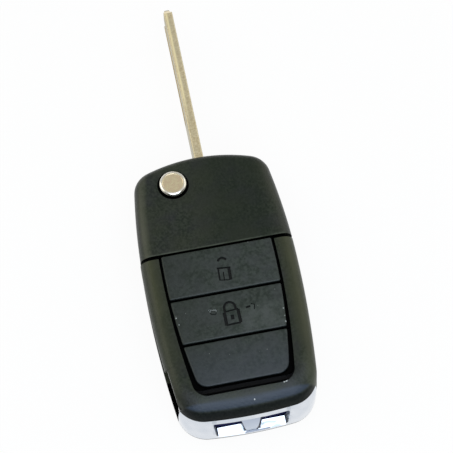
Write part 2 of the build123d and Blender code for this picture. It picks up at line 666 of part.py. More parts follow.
def window(side):
    """One window, cut right through, with a rounder corner where the pillar widens."""
    corners = [
        (side * WINDOW_TOP_INNER, WINDOW_HIGH_Z),
        (side * WINDOW_TOP_OUTER, WINDOW_HIGH_Z),
        (side * WINDOW_FOOT_OUTER, WINDOW_LOW_Z),
        (side * WINDOW_FOOT_INNER, WINDOW_LOW_Z),
    ]
    face = make_face(Plane.XZ * Polyline(corners, close=True))

    def from_flare(corner):
        return abs(corner.X) - corner.Z

    face = fillet(sorted(face.vertices(), key=from_flare)[1:], WINDOW_CORNER_R)
    face = fillet(min(face.vertices(), key=from_flare), PILLAR_FLARE_R)
    return extrude(face, LENGTH, both=True)


def sill_cut():
    """Wedge that slopes the windows' sills down to the outside, but leaves the pillar's foot."""
    points = [
        (END_Y + TRIM_WALL, WINDOW_LOW_Z),
        (END_Y - TRIM_WALL, WINDOW_LOW_Z - 2 * SILL_FALL),
        (END_Y - TRIM_WALL, WINDOW_LOW_Z),
    ]
    side_view = make_face(Plane.YZ * Polyline(points, close=True))
    wedge = extrude(side_view, WINDOW_FOOT_OUTER - WINDOW_CORNER_R, both=True)
    foot = WINDOW_FOOT_INNER
    return wedge - block(-foot, foot, END_Y + PILLAR_SET_BACK, FAR, -FAR, FAR)


def end_trim():
    trim = HOUSING & trim_blank()
    for side in (-1, 1):
        trim -= window(side)
    step_half = (WINDOW_TOP_OUTER + WINDOW_FOOT_OUTER) / 2 - WINDOW_CORNER_R
    pillar_y = END_Y + PILLAR_SET_BACK
    trim -= block(-step_half, step_half, -FAR, pillar_y, WINDOW_LOW_Z, WINDOW_HIGH_Z)
    return trim - sill_cut()


def key_faces():
    """The three keys' y limits, from the seam down."""
    first_low = PAD_TOP_Y - UNLOCK_KEY_LENGTH
    third_high = PAD_END_Y + BOOT_KEY_LENGTH
    return {
        "unlock": (first_low, PAD_TOP_Y),
        "lock": (third_high + KEY_GAP, first_low - KEY_GAP),
        "boot": (PAD_END_Y, third_high),
    }


def pad_key(low_y, high_y):
    middle_y = (low_y + high_y) / 2
    limits = Pos(0, middle_y) * Rectangle(2 * FAR, high_y - low_y)
    pad = bowed_face(PAD_HALF, PAD_BOW_R, PAD_TOP_Y, PAD_END_Y, PAD_CORNER_R)
    key = prism(pad & limits, KEY_LOW_Z, KEY_TOP_Z)
    key = fillet(key.edges().group_by(Axis.Z)[-1], KEY_EDGE_R)
    lip_half = OPENING_HALF + KEY_FLANGE_LIP
    lip = bowed_face(lip_half, OPENING_BOW_R, PAD_TOP_Y, PAD_END_Y, PAD_CORNER_R)
    key += prism(lip & limits, KEY_LOW_Z, KEY_FLANGE_TOP_Z)
    space_top = KEY_LOW_Z + KEY_DOME_SPACE_DEPTH
    return key - disc(0, middle_y, KEY_DOME_SPACE_R, KEY_LOW_Z - PAST, space_top)


def keypad_membrane():
    mat = bay(BOARD_INSET, BOARD_TOP_Z, MEMBRANE_TOP_Z)
    mat -= bay(BOARD_INSET + MEMBRANE_RIM, BOARD_TOP_Z, MEMBRANE_LOW_Z)
    for low_y, high_y in key_faces().values():
        middle_y = (low_y + high_y) / 2
        mat += disc(0, middle_y, DOME_R, MEMBRANE_TOP_Z, MEMBRANE_TOP_Z + DOME_HEIGHT)
    return mat


def circuit_board():
    return bay(BOARD_INSET, BOARD_LOW_Z, BOARD_TOP_Z)


def push_switch(middle_y):
    half = SWITCH_SIZE / 2
    body = block(-half, half, -half, half, 0, SWITCH_BODY_HEIGHT)
    body = chamfer(body.edges().filter_by(Axis.Z), SWITCH_CORNER)
    body += disc(0, 0, SWITCH_PLUNGER_R, SWITCH_BODY_HEIGHT, SWITCH_HEIGHT)
    return Pos(0, middle_y, BOARD_TOP_Z) * body


def control_chip():
    """A flat chip under the board, with a row of bent leads down each long side."""
    low_z = BOARD_LOW_Z - CHIP_HEIGHT
    half_y = CHIP_LENGTH / 2
    half_x = CHIP_WIDTH / 2
    reach = half_x + CHIP_LEAD_REACH
    lead_low = BOARD_LOW_Z - CHIP_HEIGHT / 2
    lead_high = lead_low + CHIP_LEAD_THICKNESS
    chip = block(-half_x, half_x, -half_y, half_y, low_z, BOARD_LOW_Z - CHIP_STANDOFF)
    for row in range(CHIP_LEADS):
        y = (row - (CHIP_LEADS - 1) / 2) * CHIP_LEAD_PITCH
        low_y = y - CHIP_LEAD_WIDTH / 2
        high_y = y + CHIP_LEAD_WIDTH / 2
        chip += block(-reach, reach, low_y, high_y, lead_low, lead_high)
        for side in (-1, 1):
            x = side * (reach - CHIP_LEAD_THICKNESS / 2)
            half = CHIP_LEAD_THICKNESS / 2
            chip += block(x - half, x + half, low_y, high_y, lead_low, BOARD_LOW_Z)
    return Pos(CHIP_X, CHIP_Y, 0) * chip


def crystal_can():
    plan = SlotOverall(CRYSTAL_LENGTH, CRYSTAL_WIDTH)
    can = prism(plan, BOARD_LOW_Z - CRYSTAL_HEIGHT, BOARD_LOW_Z)
    can = fillet(can.edges().group_by(Axis.Z)[0], CRYSTAL_EDGE_R)
    return Pos(CRYSTAL_X, CRYSTAL_Y, 0) * can


def antenna_coil():
    """A small wound coil: two cheeks, and the winding between them."""
    low_z = BOARD_LOW_Z - COIL_HEIGHT
    half_x = COIL_LENGTH / 2
    half_y = COIL_WIDTH / 2
    core_half = half_y - COIL_WAIST
    core_low_z = low_z + COIL_WAIST
    coil = block(-half_x, half_x, -core_half, core_half, core_low_z, BOARD_LOW_Z)
    coil += block(-half_x, COIL_CHEEK - half_x, -half_y, half_y, low_z, BOARD_LOW_Z)
    coil += block(half_x - COIL_CHEEK, half_x, -half_y, half_y, low_z, BOARD_LOW_Z)
    return Pos(COIL_X, COIL_Y, 0) * coil


def chip_capacitors():
    parts = []
    half_x = CAPACITOR_WIDTH / 2
    half_y = CAPACITOR_LENGTH / 2
    low_z = BOARD_LOW_Z - CAPACITOR_HEIGHT
    for number in range(CAPACITOR_COUNT):
        x = CAPACITORS_X + (number - (CAPACITOR_COUNT - 1) / 2) * CAPACITOR_PITCH
        capacitor = block(-half_x, half_x, -half_y, half_y, low_z, BOARD_LOW_Z)
        parts.append(Pos(x, CAPACITORS_Y, 0) * capacitor)
    return Compound(children=parts)


def coin_battery():
    step_z = BATTERY_LOW_Z + BATTERY_STEP_HEIGHT
    cell = disc(BATTERY_X, BATTERY_Y, BATTERY_R - BATTERY_STEP, BATTERY_LOW_Z, step_z)
    cell += disc(BATTERY_X, BATTERY_Y, BATTERY_R, step_z, BATTERY_TOP_Z)
    return fillet(cell.edges().group_by(Axis.Z)[-1], BATTERY_EDGE_R)


def contact_tab(x, z0, extra=0.0):
    """Upright tab near the seam, from a contact strip to the board."""
    half = CONTACT_TAB_WIDTH / 2 + extra
    y0 = CONTACT_TAB_Y - CONTACT_TAB_THICKNESS - extra
    return block(x - half, x + half, y0, CONTACT_TAB_Y + extra, z0, BOARD_LOW_Z)


def minus_strip_x():
    return BATTERY_X - CONTACT_MINUS_OFFSET


def battery_contact_plus():
    """Strip over the cell, which presses on its top face."""
    half = CONTACT_PLUS_WIDTH / 2
    y0 = BATTERY_Y - CONTACT_PLUS_REACH
    x0 = BATTERY_X - half
    strip = block(x0, BATTERY_X + half, y0, CONTACT_TAB_Y, BATTERY_TOP_Z, TRAY_PLATE_Z)
    return strip + contact_tab(BATTERY_X, BATTERY_TOP_Z)


def battery_contact_minus():
    """Disc under the cell, with a strip that runs out beside it to the board."""
    x = minus_strip_x()
    x0 = x - CONTACT_TAB_WIDTH / 2
    x1 = x + CONTACT_TAB_WIDTH / 2
    y0 = BATTERY_Y - CONTACT_MINUS_WIDTH / 2
    y1 = BATTERY_Y + CONTACT_MINUS_WIDTH / 2
    strip = disc(BATTERY_X, BATTERY_Y, CONTACT_MINUS_DISC_R, FLOOR, BATTERY_LOW_Z)
    strip += block(x0, BATTERY_X, y0, y1, FLOOR, BATTERY_LOW_Z)
    strip += block(x0, x1, y0, CONTACT_TAB_Y, FLOOR, BATTERY_LOW_Z)
    return strip + contact_tab(x, FLOOR)


def battery_nest():
    """Wall round the cell, with gaps for the two contact strips."""
    wall_r = BATTERY_R + NEST_CLEARANCE + NEST_WALL
    nest = disc(BATTERY_X, BATTERY_Y, wall_r, FLOOR + NEST_ABOVE_FLOOR, TRAY_PLATE_Z)
    nest -= disc(BATTERY_X, BATTERY_Y, BATTERY_R + NEST_CLEARANCE, FLOOR, TRAY_PLATE_Z)
    gap_x = minus_strip_x()
    gap_half = NEST_GAP_WIDTH / 2
    gap_y = BATTERY_Y - NEST_GAP_BELOW
    nest -= block(gap_x - gap_half, gap_x + gap_half, gap_y, FAR, FLOOR, TRAY_PLATE_Z)
    half = CONTACT_PLUS_WIDTH / 2 + FIT
    low_z = BATTERY_TOP_Z - FIT
    nest -= block(BATTERY_X - half, BATTERY_X + half, BATTERY_Y, FAR, low_z, TRAY_PLATE_Z)
    return nest & bay(FIT + TRAY_WALL / 2, FLOOR, TRAY_PLATE_Z)


def board_tray():
    tray = bay(FIT, FLOOR, BOARD_LOW_Z)
    tray -= bay(FIT + TRAY_WALL, FLOOR, TRAY_PLATE_Z)
    tray -= bay(FIT + TRAY_WALL, TRAY_PLATE_Z + TRAY_PLATE, BOARD_LOW_Z)
    tray += battery_nest()
    for x in (BATTERY_X, minus_strip_x()):
        tray -= contact_tab(x, 0, FIT)
    return tray - tongue_socket()


# Every piece, under its node's name
pieces = {
    "head_front_cover": head_front_cover(),
    "head_rear_cover": head_rear_cover(),
    "transponder_chip": transponder_chip(),
    "key_blade": key_blade(),
    "blade_carrier": blade_carrier(),
    "blade_roll_pin": roll_pin(),
    "release_button": release_button(),
    "flip_spring": flip_spring(),
    "front_frame": front_frame(),
    "rear_cover": rear_cover(),
    "blade_slot_liner": blade_slot_liner(),
    "end_trim": end_trim(),
    "keypad_membrane": keypad_membrane(),
    "circuit_board": circuit_board(),
    "control_chip": control_chip(),
    "crystal_can": crystal_can(),
    "antenna_coil": antenna_coil(),
    "chip_capacitors": chip_capacitors(),
    "coin_battery": coin_battery(),
    "battery_contact_plus": battery_contact_plus(),
    "battery_contact_minus": battery_contact_minus(),
    "board_tray": board_tray(),
}
for key_name, (key_low, key_high) in key_faces().items():
    pieces[key_name + "_button"] = pad_key(key_low, key_high)
    pieces[key_name + "_switch"] = push_switch((key_low + key_high) / 2)

for name, piece in pieces.items():
    export_step(piece, f"parts/{name}.step")
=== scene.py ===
import json
import math

import bmesh
import bpy
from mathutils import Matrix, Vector


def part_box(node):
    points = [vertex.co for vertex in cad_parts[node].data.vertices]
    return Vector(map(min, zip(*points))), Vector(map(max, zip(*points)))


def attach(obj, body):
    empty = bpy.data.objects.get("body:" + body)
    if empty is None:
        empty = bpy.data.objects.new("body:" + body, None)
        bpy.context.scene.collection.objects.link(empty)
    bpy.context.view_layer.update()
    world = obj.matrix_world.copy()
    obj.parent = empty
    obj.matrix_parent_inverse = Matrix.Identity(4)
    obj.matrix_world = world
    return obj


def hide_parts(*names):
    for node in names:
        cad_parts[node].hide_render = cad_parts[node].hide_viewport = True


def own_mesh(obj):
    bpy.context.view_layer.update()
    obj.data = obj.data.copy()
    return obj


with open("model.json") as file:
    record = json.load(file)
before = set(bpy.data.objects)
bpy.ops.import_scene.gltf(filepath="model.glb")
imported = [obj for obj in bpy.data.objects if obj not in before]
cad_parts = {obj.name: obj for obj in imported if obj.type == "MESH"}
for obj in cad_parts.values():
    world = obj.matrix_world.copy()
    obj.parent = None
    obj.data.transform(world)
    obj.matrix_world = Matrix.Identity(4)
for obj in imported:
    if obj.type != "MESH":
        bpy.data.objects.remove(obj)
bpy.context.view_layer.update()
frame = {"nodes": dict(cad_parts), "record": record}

MM = 0.001
NODES = frame["nodes"]

# Camera, at the photograph's view
CAMERA_AZIMUTH = -11.25
CAMERA_ELEVATION = 65.0
CAMERA_DISTANCE = 350 * MM
CAMERA_TARGET = Vector((3.4, 14.0, 14.6)) * MM
CAMERA_LENS = 112.65
CAMERA_SENSOR = 36.0
CAMERA_NEAR = 0.01
CAMERA_FAR = 20.0

# Stage
WORLD_COLOUR = (0.99, 1.0, 0.96, 1.0)
WORLD_STRENGTH = 0.52
WORLD_DIM = 0.05  # strength behind the camera, near the floor
DIM_FRONT_Y = (-0.55, -0.1)  # direction's y, from fully dim to not dim
DIM_LOW_Z = (0.45, 0.6)  # and its z
FLOOR_HALF = 2.0
FLOOR_COLOUR = (0.95, 0.95, 0.95, 1.0)
FLOOR_ROUGHNESS = 0.9
FLOOR_WHITE = 0.93  # share of plain white that the camera and reflections see
LAMP_DISTANCE = 0.7
LAMP_TARGET = Vector((0.0, 0.0, 10.0)) * MM
LAMPS = (  # name, azimuth, elevation, size, power and colour
    ("soft_front", 4, 54, 0.7, 3.1, (0.86, 0.98, 1.16)),
    ("soft_left", -112, 32, 0.5, 0.9, (1.06, 1.02, 0.84)),
    ("soft_right", 112, 30, 0.5, 0.5, (1.04, 1.02, 0.9)),
)

# Housing and keypad, in millimetres, as the part's source has them
WIDEST_Y = 4.2
SEAM_Y = 9.1
SEAM_HALF = 0.45
KEYPAD_X = -0.2
OPENING_HALF = 14.45
OPENING_BOW_R = 197.0
OPENING_END_Y = -28.0
OPENING_CORNER_REACH = 37.7  # x less y, along a line that touches the rounded corner
PAD_HALF = 13.87
PAD_BOW_R = 150.0
PAD_CORNER = 3.0  # the last key's two outer corners
KEY_CORNER = 0.35
KEY_LIP = 0.45  # the flange reaches this far under the frame
KEY_LIP_THICKNESS = 0.5
KEY_FOOT_STEP = 0.01  # from the flange's rim up to the foot of the key's side
KEY_ROLL = ((0.0, -0.5), (0.05, -0.3), (0.14, -0.15), (0.28, -0.05), (0.45, 0.0))  # inset, height
RECESS_R = 3.95  # round the release button
END_Y = -35.3
END_BOW_R = 110.0
PILLAR_Y = -34.95  # the trim pillar's front
SILL_Z = 4.2  # the windows' sills, inside
SILL_LOW_Z = 3.4  # and outside
WINDOW_HIGH_Z = 9.35
HOOD_END_Y = -19.4
TRIM_START_Y = -29.2
TRIM_HIGH_Z = 10.4
ROLL_START_Y = -29.0  # from here the front face rolls down to the end

# Finer shaping
CORNER_STEPS = 8
SIDE_STEPS = 6
TURN_STEPS = 64
SHARP_ANGLE = math.radians(40)
MARK_DEPTH = 0.3


def direction(azimuth, elevation):
    """Unit vector from the part towards a viewer or a lamp, both angles in degrees."""
    turn = math.radians(azimuth)
    rise = math.radians(elevation)
    flat = math.cos(rise)
    return Vector((math.sin(turn) * flat, -math.cos(turn) * flat, math.sin(rise)))


def aim(thing, target, back, distance):
    """Adds a camera or a lamp to the scene, at this distance from its target and looking at it."""
    thing.location = target + back * distance
    thing.rotation_euler = back.to_track_quat("Z", "Y").to_euler()
    bpy.context.scene.collection.objects.link(thing)


def add_camera():
    data = bpy.data.cameras.new("camera")
    data.lens = CAMERA_LENS
    data.sensor_width = CAMERA_SENSOR
    data.clip_start = CAMERA_NEAR
    data.clip_end = CAMERA_FAR
    camera = bpy.data.objects.new("camera", data)
    aim(camera, CAMERA_TARGET, direction(CAMERA_AZIMUTH, CAMERA_ELEVATION), CAMERA_DISTANCE)
    bpy.context.scene.camera = camera


# Material helpers
NOISE_SPREAD = (0.3, 0.7)  # nearly all of a noise lies between these values
MOTTLE_LEVELS = (0.35, 0.65)  # a mottle goes from one colour to the other between these
SPECK_CORE = 0.6  # share of a speck's radius that shows in full
SPOT_CORE = 0.5  # and of a spot's
LEAST_SPECULAR = 0.03  # in grooves and other dull places


def srgb(red, green, blue):
    """A colour given as it looks on screen, 0 to 255, as the linear value that a shader takes."""
    linear = []
    for value in (red, green, blue):
        share = value / 255
        # The standard curve is straight near black, and a power above that
        linear.append(share / 12.92 if share <= 0.04045 else ((share + 0.055) / 1.055) ** 2.4)
    return (*linear, 1.0)


def button_centre():
    """Middle of the release button's top face, in millimetres."""
    low, high = [Vector(corner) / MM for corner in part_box("release_button")]
    return Vector(((low.x + high.x) / 2, (low.y + high.y) / 2, high.z))


class Tree:
    """Short calls for the nodes of a material or of the world."""

    def __init__(self, tree):
        self.tree = tree

    def node(self, kind, **settings):
        made = self.tree.nodes.new(kind)
        for name, value in settings.items():
            setattr(made, name, value)
        return made

    def link(self, output, target):
        self.tree.links.new(output, target)

    def feed(self, target, value):
        """Gives a socket a fixed value, or links it to an output."""
        if isinstance(value, (int, float, tuple)):
            target.default_value = value
        else:
            self.link(value, target)

    def split(self, vector):
        """A vector's x, y and z."""
        made = self.node("ShaderNodeSeparateXYZ")
        self.link(vector, made.inputs[0])
        return made.outputs

    def reckon(self, operation, first, second=0.0):
        """Result of a sum, whose values are numbers or outputs."""
        made = self.node("ShaderNodeMath", operation=operation)
        self.feed(made.inputs[0], first)
        self.feed(made.inputs[1], second)
        return made.outputs[0]

    def add(self, first, second):
        return self.reckon("ADD", first, second)

    def less(self, first, second):
        """The first value less the second."""
        return self.reckon("SUBTRACT", first, second)

    def size(self, value):
        """The value without its sign."""
        return self.reckon("ABSOLUTE", value)

    def smaller(self, first, second):
        return self.reckon("MINIMUM", first, second)

    def largest(self, result, *others):
        for value in others:
            result = self.reckon("MAXIMUM", result, value)
        return result

    def product(self, result, *factors):
        for factor in factors:
            result = self.reckon("MULTIPLY", result, factor)
        return result

    def ramp(self, value, limits, outputs, **settings):
        """Goes from the first output to the second, as the value goes from one limit to the other."""
        made = self.node("ShaderNodeMapRange", **settings)
        names = ("From Min", "From Max", "To Min", "To Max")
        for socket, number in zip(names, (*limits, *outputs)):
            made.inputs[socket].default_value = number
        self.link(value, made.inputs["Value"])
        return made.outputs["Result"]

    def rise(self, value, low, high, most=1.0):
        """From 0 below the low limit to its most above the high one."""
        return self.ramp(value, (low, high), (0.0, most))

    def fall(self, value, low, high, most=1.0):
        """From its most below the low limit to 0 above the high one."""
        return self.ramp(value, (low, high), (most, 0.0))

    def within(self, value, low, high, soft):
        """1 between two limits, and 0 further than the soft edge outside them."""
        return self.product(self.rise(value, low - soft, low), self.fall(value, high, high + soft))


class Shader(Tree):
    """A material with one Principled shader."""

    def __init__(self, name, colour, roughness, metallic=0.0):
        self.material = bpy.data.materials.new(name)
        self.material.use_nodes = True
        super().__init__(self.material.node_tree)
        self.bsdf = self.tree.nodes["Principled BSDF"]
        self.bsdf.inputs["Base Color"].default_value = colour
        self.bsdf.inputs["Roughness"].default_value = roughness
        self.bsdf.inputs["Metallic"].default_value = metallic
        self.place = self.node("ShaderNodeTexCoord").outputs["Object"]

    def axes(self):
        """The point's x, y and z in millimetres, in the part's frame."""
        scale = self.node("ShaderNodeVectorMath", operation="SCALE")
        scale.inputs["Scale"].default_value = 1 / MM
        self.link(self.place, scale.inputs[0])
        return self.split(scale.outputs[0])

    def stretched(self, scale):
        mapping = self.node("ShaderNodeMapping")
        mapping.inputs["Scale"].default_value = scale
        self.link(self.place, mapping.inputs["Vector"])
        return mapping.outputs["Vector"]

    def noise(self, size_mm, detail=2.0, vector=None):
        """Noise whose blobs are about this size."""
        made = self.node("ShaderNodeTexNoise")
        made.inputs["Scale"].default_value = 1.0 / (size_mm * MM)
        made.inputs["Detail"].default_value = detail
        self.link(vector or self.place, made.inputs["Vector"])
        return made.outputs["Fac"]

    def specks(self, spacing_mm, share):
        """Sparse round dots, 1 inside and 0 outside, of this share of their spacing."""
        made = self.node("ShaderNodeTexVoronoi")
        made.inputs["Scale"].default_value = 1.0 / (spacing_mm * MM)
        self.link(self.place, made.inputs["Vector"])
        return self.fall(made.outputs["Distance"], share * SPECK_CORE, share)

    def squared_gap(self, x, y, place_x, place_y):
        """Square of the distance from a place, as seen from the front."""
        from_x = self.less(x, place_x)
        from_y = self.less(y, place_y)
        return self.add(self.product(from_x, from_x), self.product(from_y, from_y))

    def from_button(self, x, y):
        """Distance from the release button's axis, in millimetres."""
        centre = button_centre()
        return self.reckon("SQRT", self.squared_gap(x, y, centre.x, centre.y))

    def spots(self, x, y, places):
        """1 in small round places on the front, each given by its middle and its radius in millimetres."""
        found = []
        for place_x, place_y, radius in places:
            square = self.squared_gap(x, y, place_x, place_y)
            found.append(self.fall(square, (SPOT_CORE * radius) ** 2, radius ** 2))
        return self.largest(*found)

    def mix(self, factor, first, second):
        made = self.node("ShaderNodeMix", data_type="RGBA")
        self.link(factor, made.inputs["Factor"])
        for name, colour in (("A", first), ("B", second)):
            self.feed(next(s for s in made.inputs if s.name == name and s.type == "RGBA"), colour)
        return next(s for s in made.outputs if s.type == "RGBA")

    def tint(self, under, where, over, strength=1.0):
        """One colour with another laid over it where the mask is 1, at this strength."""
        mask = where if strength == 1.0 else self.product(where, strength)
        return self.mix(mask, under, over)

    def mottled(self, noise, low, high, first, second, most=1.0):
        """Goes from one colour to another where the noise rises from the low value to the high one."""
        return self.mix(self.rise(noise, low, high, most), first, second)

    def colour(self, output):
        self.link(output, self.bsdf.inputs["Base Color"])

    def roughness(self, output):
        self.link(output, self.bsdf.inputs["Roughness"])

    def roughness_by(self, noise, least, most):
        self.roughness(self.ramp(noise, NOISE_SPREAD, (least, most)))

    def specular(self, dull, most):
        """Reflection, at its most where the mask is 0, and nearly none where it is 1."""
        level = self.ramp(dull, (0.0, 1.0), (most, LEAST_SPECULAR))
        self.link(level, self.bsdf.inputs["Specular IOR Level"])

    def bump(self, *layers):
        """Bump from heights, each with its depth in millimetres."""
        normal = None
        for height, depth_mm in layers:
            made = self.node("ShaderNodeBump")
            made.inputs["Strength"].default_value = 1.0
            made.inputs["Distance"].default_value = depth_mm * MM
            self.link(height, made.inputs["Height"])
            if normal is not None:
                self.link(normal, made.inputs["Normal"])
            normal = made.outputs["Normal"]
        self.link(normal, self.bsdf.inputs["Normal"])


# Places below are in millimetres: a pair is where a change starts and where it ends, and a third number
# is a soft edge outside the first two. Colours are as they look on screen.
NO_LIGHT = srgb(2, 2, 2)
PATCH_LEVELS = (0.3, 0.6)  # values of a noise at which patches start, and at which they are full
SMALL_PATCH_LEVELS = (0.35, 0.6)
FACE_Z = (14.3, 14.5)  # the openings' walls lie below, and the front face above
GROOVE_EDGE = (0.03, 0.1)  # out from an opening's wall
SEAM_EDGE = (SEAM_HALF + 0.005, SEAM_HALF + 0.02)  # out from the seam's middle


def groove_shade(made, x, y, z):
    """1 in the keypad's opening, in the button's recess and in the seam, where no light falls."""
    from_middle = made.size(made.less(x, KEYPAD_X))
    from_seam = made.less(y, SEAM_Y)
    along = made.less(y, WIDEST_Y)
    bow = made.product(along, along, 0.5 / OPENING_BOW_R)
    past_side = made.less(made.add(from_middle, bow), OPENING_HALF)
    past_end = made.less(OPENING_END_Y, y)
    past_corner = made.less(made.less(from_middle, y), OPENING_CORNER_REACH)
    past_opening = made.largest(past_side, past_end, from_seam, past_corner)
    past_recess = made.less(made.from_button(x, y), RECESS_R)
    inside = made.fall(made.smaller(past_opening, past_recess), *GROOVE_EDGE)
    deep = made.product(inside, made.fall(z, *FACE_Z))
    return made.largest(deep, made.fall(made.size(from_seam), *SEAM_EDGE))


# Shell
SHELL_BASE = srgb(24, 34, 22)
SHELL_HOLLOW = srgb(6, 20, 6)
SHELL_CREST = srgb(35, 42, 31)
SHELL_BLUISH = srgb(30, 31, 36)
SHELL_OLIVE = srgb(38, 43, 27)
SIDE_LIGHT = srgb(54, 57, 36)  # painted light, lighter and a little browner, down both sides
SIDE_X = (14.0, 17.0)  # out from the middle
SIDE_SHARES = (0.6, 1.0)  # strength between the patches and in them
LEFT_EDGE_X = (-18.2, -17.0)
LEFT_EDGE_SHARE = 0.4  # of the sides' painted light
LOW_LEFT_X = (-10.0, 0.0)
LOW_LEFT_Y = (-16.0, -4.0)
LOW_LEFT_SHARE = 0.45
HEAD_Y = (SEAM_Y, SEAM_Y + 0.5)
HEAD_SHARE = 0.25
HEAD_DARK_TINT = srgb(2, 20, 4)  # darker and greener, on the head from its middle to near its right side
HEAD_DARK_FROM_X = (-6.0, 4.0)
HEAD_DARK_TO_X = (13.0, 16.0)
HEAD_LEFT_LIGHT = srgb(88, 90, 72)  # painted light along the head's left side
HEAD_LEFT_LIGHT_EDGE = (-17.5, -16.5, 0.8)  # x, less what the outline's bow takes
HEAD_LEFT_LIGHT_BOW = 1 / 220
HEAD_LEFT_LIGHT_SHARES = (0.2, 0.32)
CORNER_WORN = srgb(96, 100, 84)  # low on the right
CORNER_X = (12.5, 15.0)
CORNER_Y = (-27.0, -21.0)
LIP_HIGHLIGHT = srgb(66, 72, 62)  # painted highlight on the head's edge along the seam
LIP_Y = (SEAM_Y + 0.5, SEAM_Y + 0.75, 0.15)
LIP_Z = (14.2, 14.5)
LIP_SHARES = (0.2, 0.8)
ROLLED_Y = (ROLL_START_Y - 0.6, ROLL_START_Y)
BAND_REFLECTION = srgb(54, 65, 82)  # painted bluish reflection, where the front face rolls down
BAND_Z = (12.9, 13.7, 0.5)
STRIP_DARK_REFLECTION = srgb(8, 13, 15)  # painted dark reflection, between that band and the trim
STRIP_Z = (TRIM_HIGH_Z, 12.2, 0.6)
STRIP_DULL = 0.6
HEAD_DARK_DULL = 0.14
LOWER_DULL = 0.1  # all of the shell below the seam
POCKET_SHADE_TINT = srgb(40, 42, 88)  # painted bluish shade inside the ring pocket
POCKET_X = (-9.6, 9.6, 0.05)
POCKET_Y = (-27.8, -27.6)
POCKET_Z = (3.9, 9.6, 0.1)
SLOT_X = (-13.6, -13.2)  # the blade slot's open stretch, where no light falls
SLOT_Y = (TRIM_START_Y, HOOD_END_Y, 0.1)
SLOT_Z = (2.5, 3.3, 0.2)
SPOT_HIGHLIGHT = srgb(214, 218, 216)
HIGHLIGHT_SPOT_Z = (12.5, 13.0)
HIGHLIGHT_SPOTS = ((9.4, -27.75, 0.42), (8.9, -27.95, 0.3), (1.25, -30.6, 0.2))  # painted highlights on the opening's corner and the roll: x, y and radius


def lit_sides(made, x, y, patches):
    """Painted light down both sides, fainter on the head, at the left edge and low on the left."""
    low_left = made.product(made.fall(x, *LOW_LEFT_X), made.fall(y, *LOW_LEFT_Y))
    return made.product(
        made.rise(made.size(x), *SIDE_X),
        made.ramp(y, HEAD_Y, (1.0, HEAD_SHARE)),
        made.ramp(x, LEFT_EDGE_X, (LEFT_EDGE_SHARE, 1.0)),
        made.ramp(low_left, (0.0, 1.0), (1.0, LOW_LEFT_SHARE)),
        made.ramp(patches, PATCH_LEVELS, SIDE_SHARES),
    )


def shell_plastic():
    """Moulded black plastic with an orange-peel grain, lighter and a little browner down its sides in
    painted light.
    """
    made = Shader("shell_plastic", SHELL_BASE, roughness=0.4)
    x, y, z = made.axes()
    peel = made.noise(0.55)
    patches = made.noise(5.0, detail=3.0)
    drift = made.noise(9.0, detail=1.0)
    colour = made.mottled(peel, 0.38, 0.62, SHELL_HOLLOW, SHELL_CREST)
    colour = made.mottled(patches, 0.42, 0.66, colour, SHELL_BLUISH, most=0.6)
    colour = made.mottled(drift, 0.4, 0.65, colour, SHELL_OLIVE, most=0.5)
    # Painted light down both sides
    colour = made.tint(colour, lit_sides(made, x, y, patches), SIDE_LIGHT)

    head = made.rise(y, *HEAD_Y)
    head_dark = made.product(head, made.rise(x, *HEAD_DARK_FROM_X), made.fall(x, *HEAD_DARK_TO_X))
    colour = made.tint(colour, head_dark, HEAD_DARK_TINT, strength=0.5)
    # Painted light along the head's left side
    from_seam = made.less(y, SEAM_Y)
    edge = made.less(x, made.product(from_seam, from_seam, HEAD_LEFT_LIGHT_BOW))
    lit_left_edge = made.product(head, made.within(edge, *HEAD_LEFT_LIGHT_EDGE))
    lit_left_edge = made.product(lit_left_edge, made.ramp(patches, PATCH_LEVELS, HEAD_LEFT_LIGHT_SHARES))
    colour = made.tint(colour, lit_left_edge, HEAD_LEFT_LIGHT)
    corner = made.product(made.rise(x, *CORNER_X), made.fall(y, *CORNER_Y, most=0.25))
    colour = made.tint(colour, corner, CORNER_WORN)
    # Painted highlight on the head's edge above the seam
    lip = made.product(made.within(y, *LIP_Y), made.rise(z, *LIP_Z))
    lip = made.product(lip, made.ramp(patches, SMALL_PATCH_LEVELS, LIP_SHARES))
    colour = made.tint(colour, lip, LIP_HIGHLIGHT)

    rolled = made.fall(y, *ROLLED_Y)
    # Painted reflection of a bluish light where the front face rolls down
    reflected_band = made.product(rolled, made.within(z, *BAND_Z))
    colour = made.tint(colour, reflected_band, BAND_REFLECTION, strength=0.7)
    # Painted dark reflection between the band and the trim
    strip = made.product(rolled, made.within(z, *STRIP_Z))
    colour = made.tint(colour, strip, STRIP_DARK_REFLECTION, strength=0.8)
    # Painted bluish shade inside the ring pocket, under the trim's bar
    shaded_pocket = made.product(made.within(x, *POCKET_X), made.fall(y, *POCKET_Y), made.within(z, *POCKET_Z))
    colour = made.tint(colour, shaded_pocket, POCKET_SHADE_TINT)
    slot = made.product(made.fall(x, *SLOT_X), made.within(z, *SLOT_Z), made.within(y, *SLOT_Y))
    shade = made.largest(groove_shade(made, x, y, z), slot)
    colour = made.tint(colour, shade, NO_LIGHT)
    # Painted highlights in small spots
    highlight_spots = made.product(made.spots(x, y, HIGHLIGHT_SPOTS), made.rise(z, *HIGHLIGHT_SPOT_Z, most=0.8))
    made.colour(made.tint(colour, highlight_spots, SPOT_HIGHLIGHT))

    dull_strip = made.product(strip, STRIP_DULL)
    dull_head = made.product(head_dark, HEAD_DARK_DULL)
    dull_lower = made.fall(head, 0.0, 1.0, most=LOWER_DULL)
    made.specular(made.largest(shade, dull_strip, dull_head, dull_lower), most=0.4)
    made.roughness_by(peel, 0.34, 0.46)
    made.bump((peel, 0.07), (made.noise(0.2), 0.012))
    return made.material


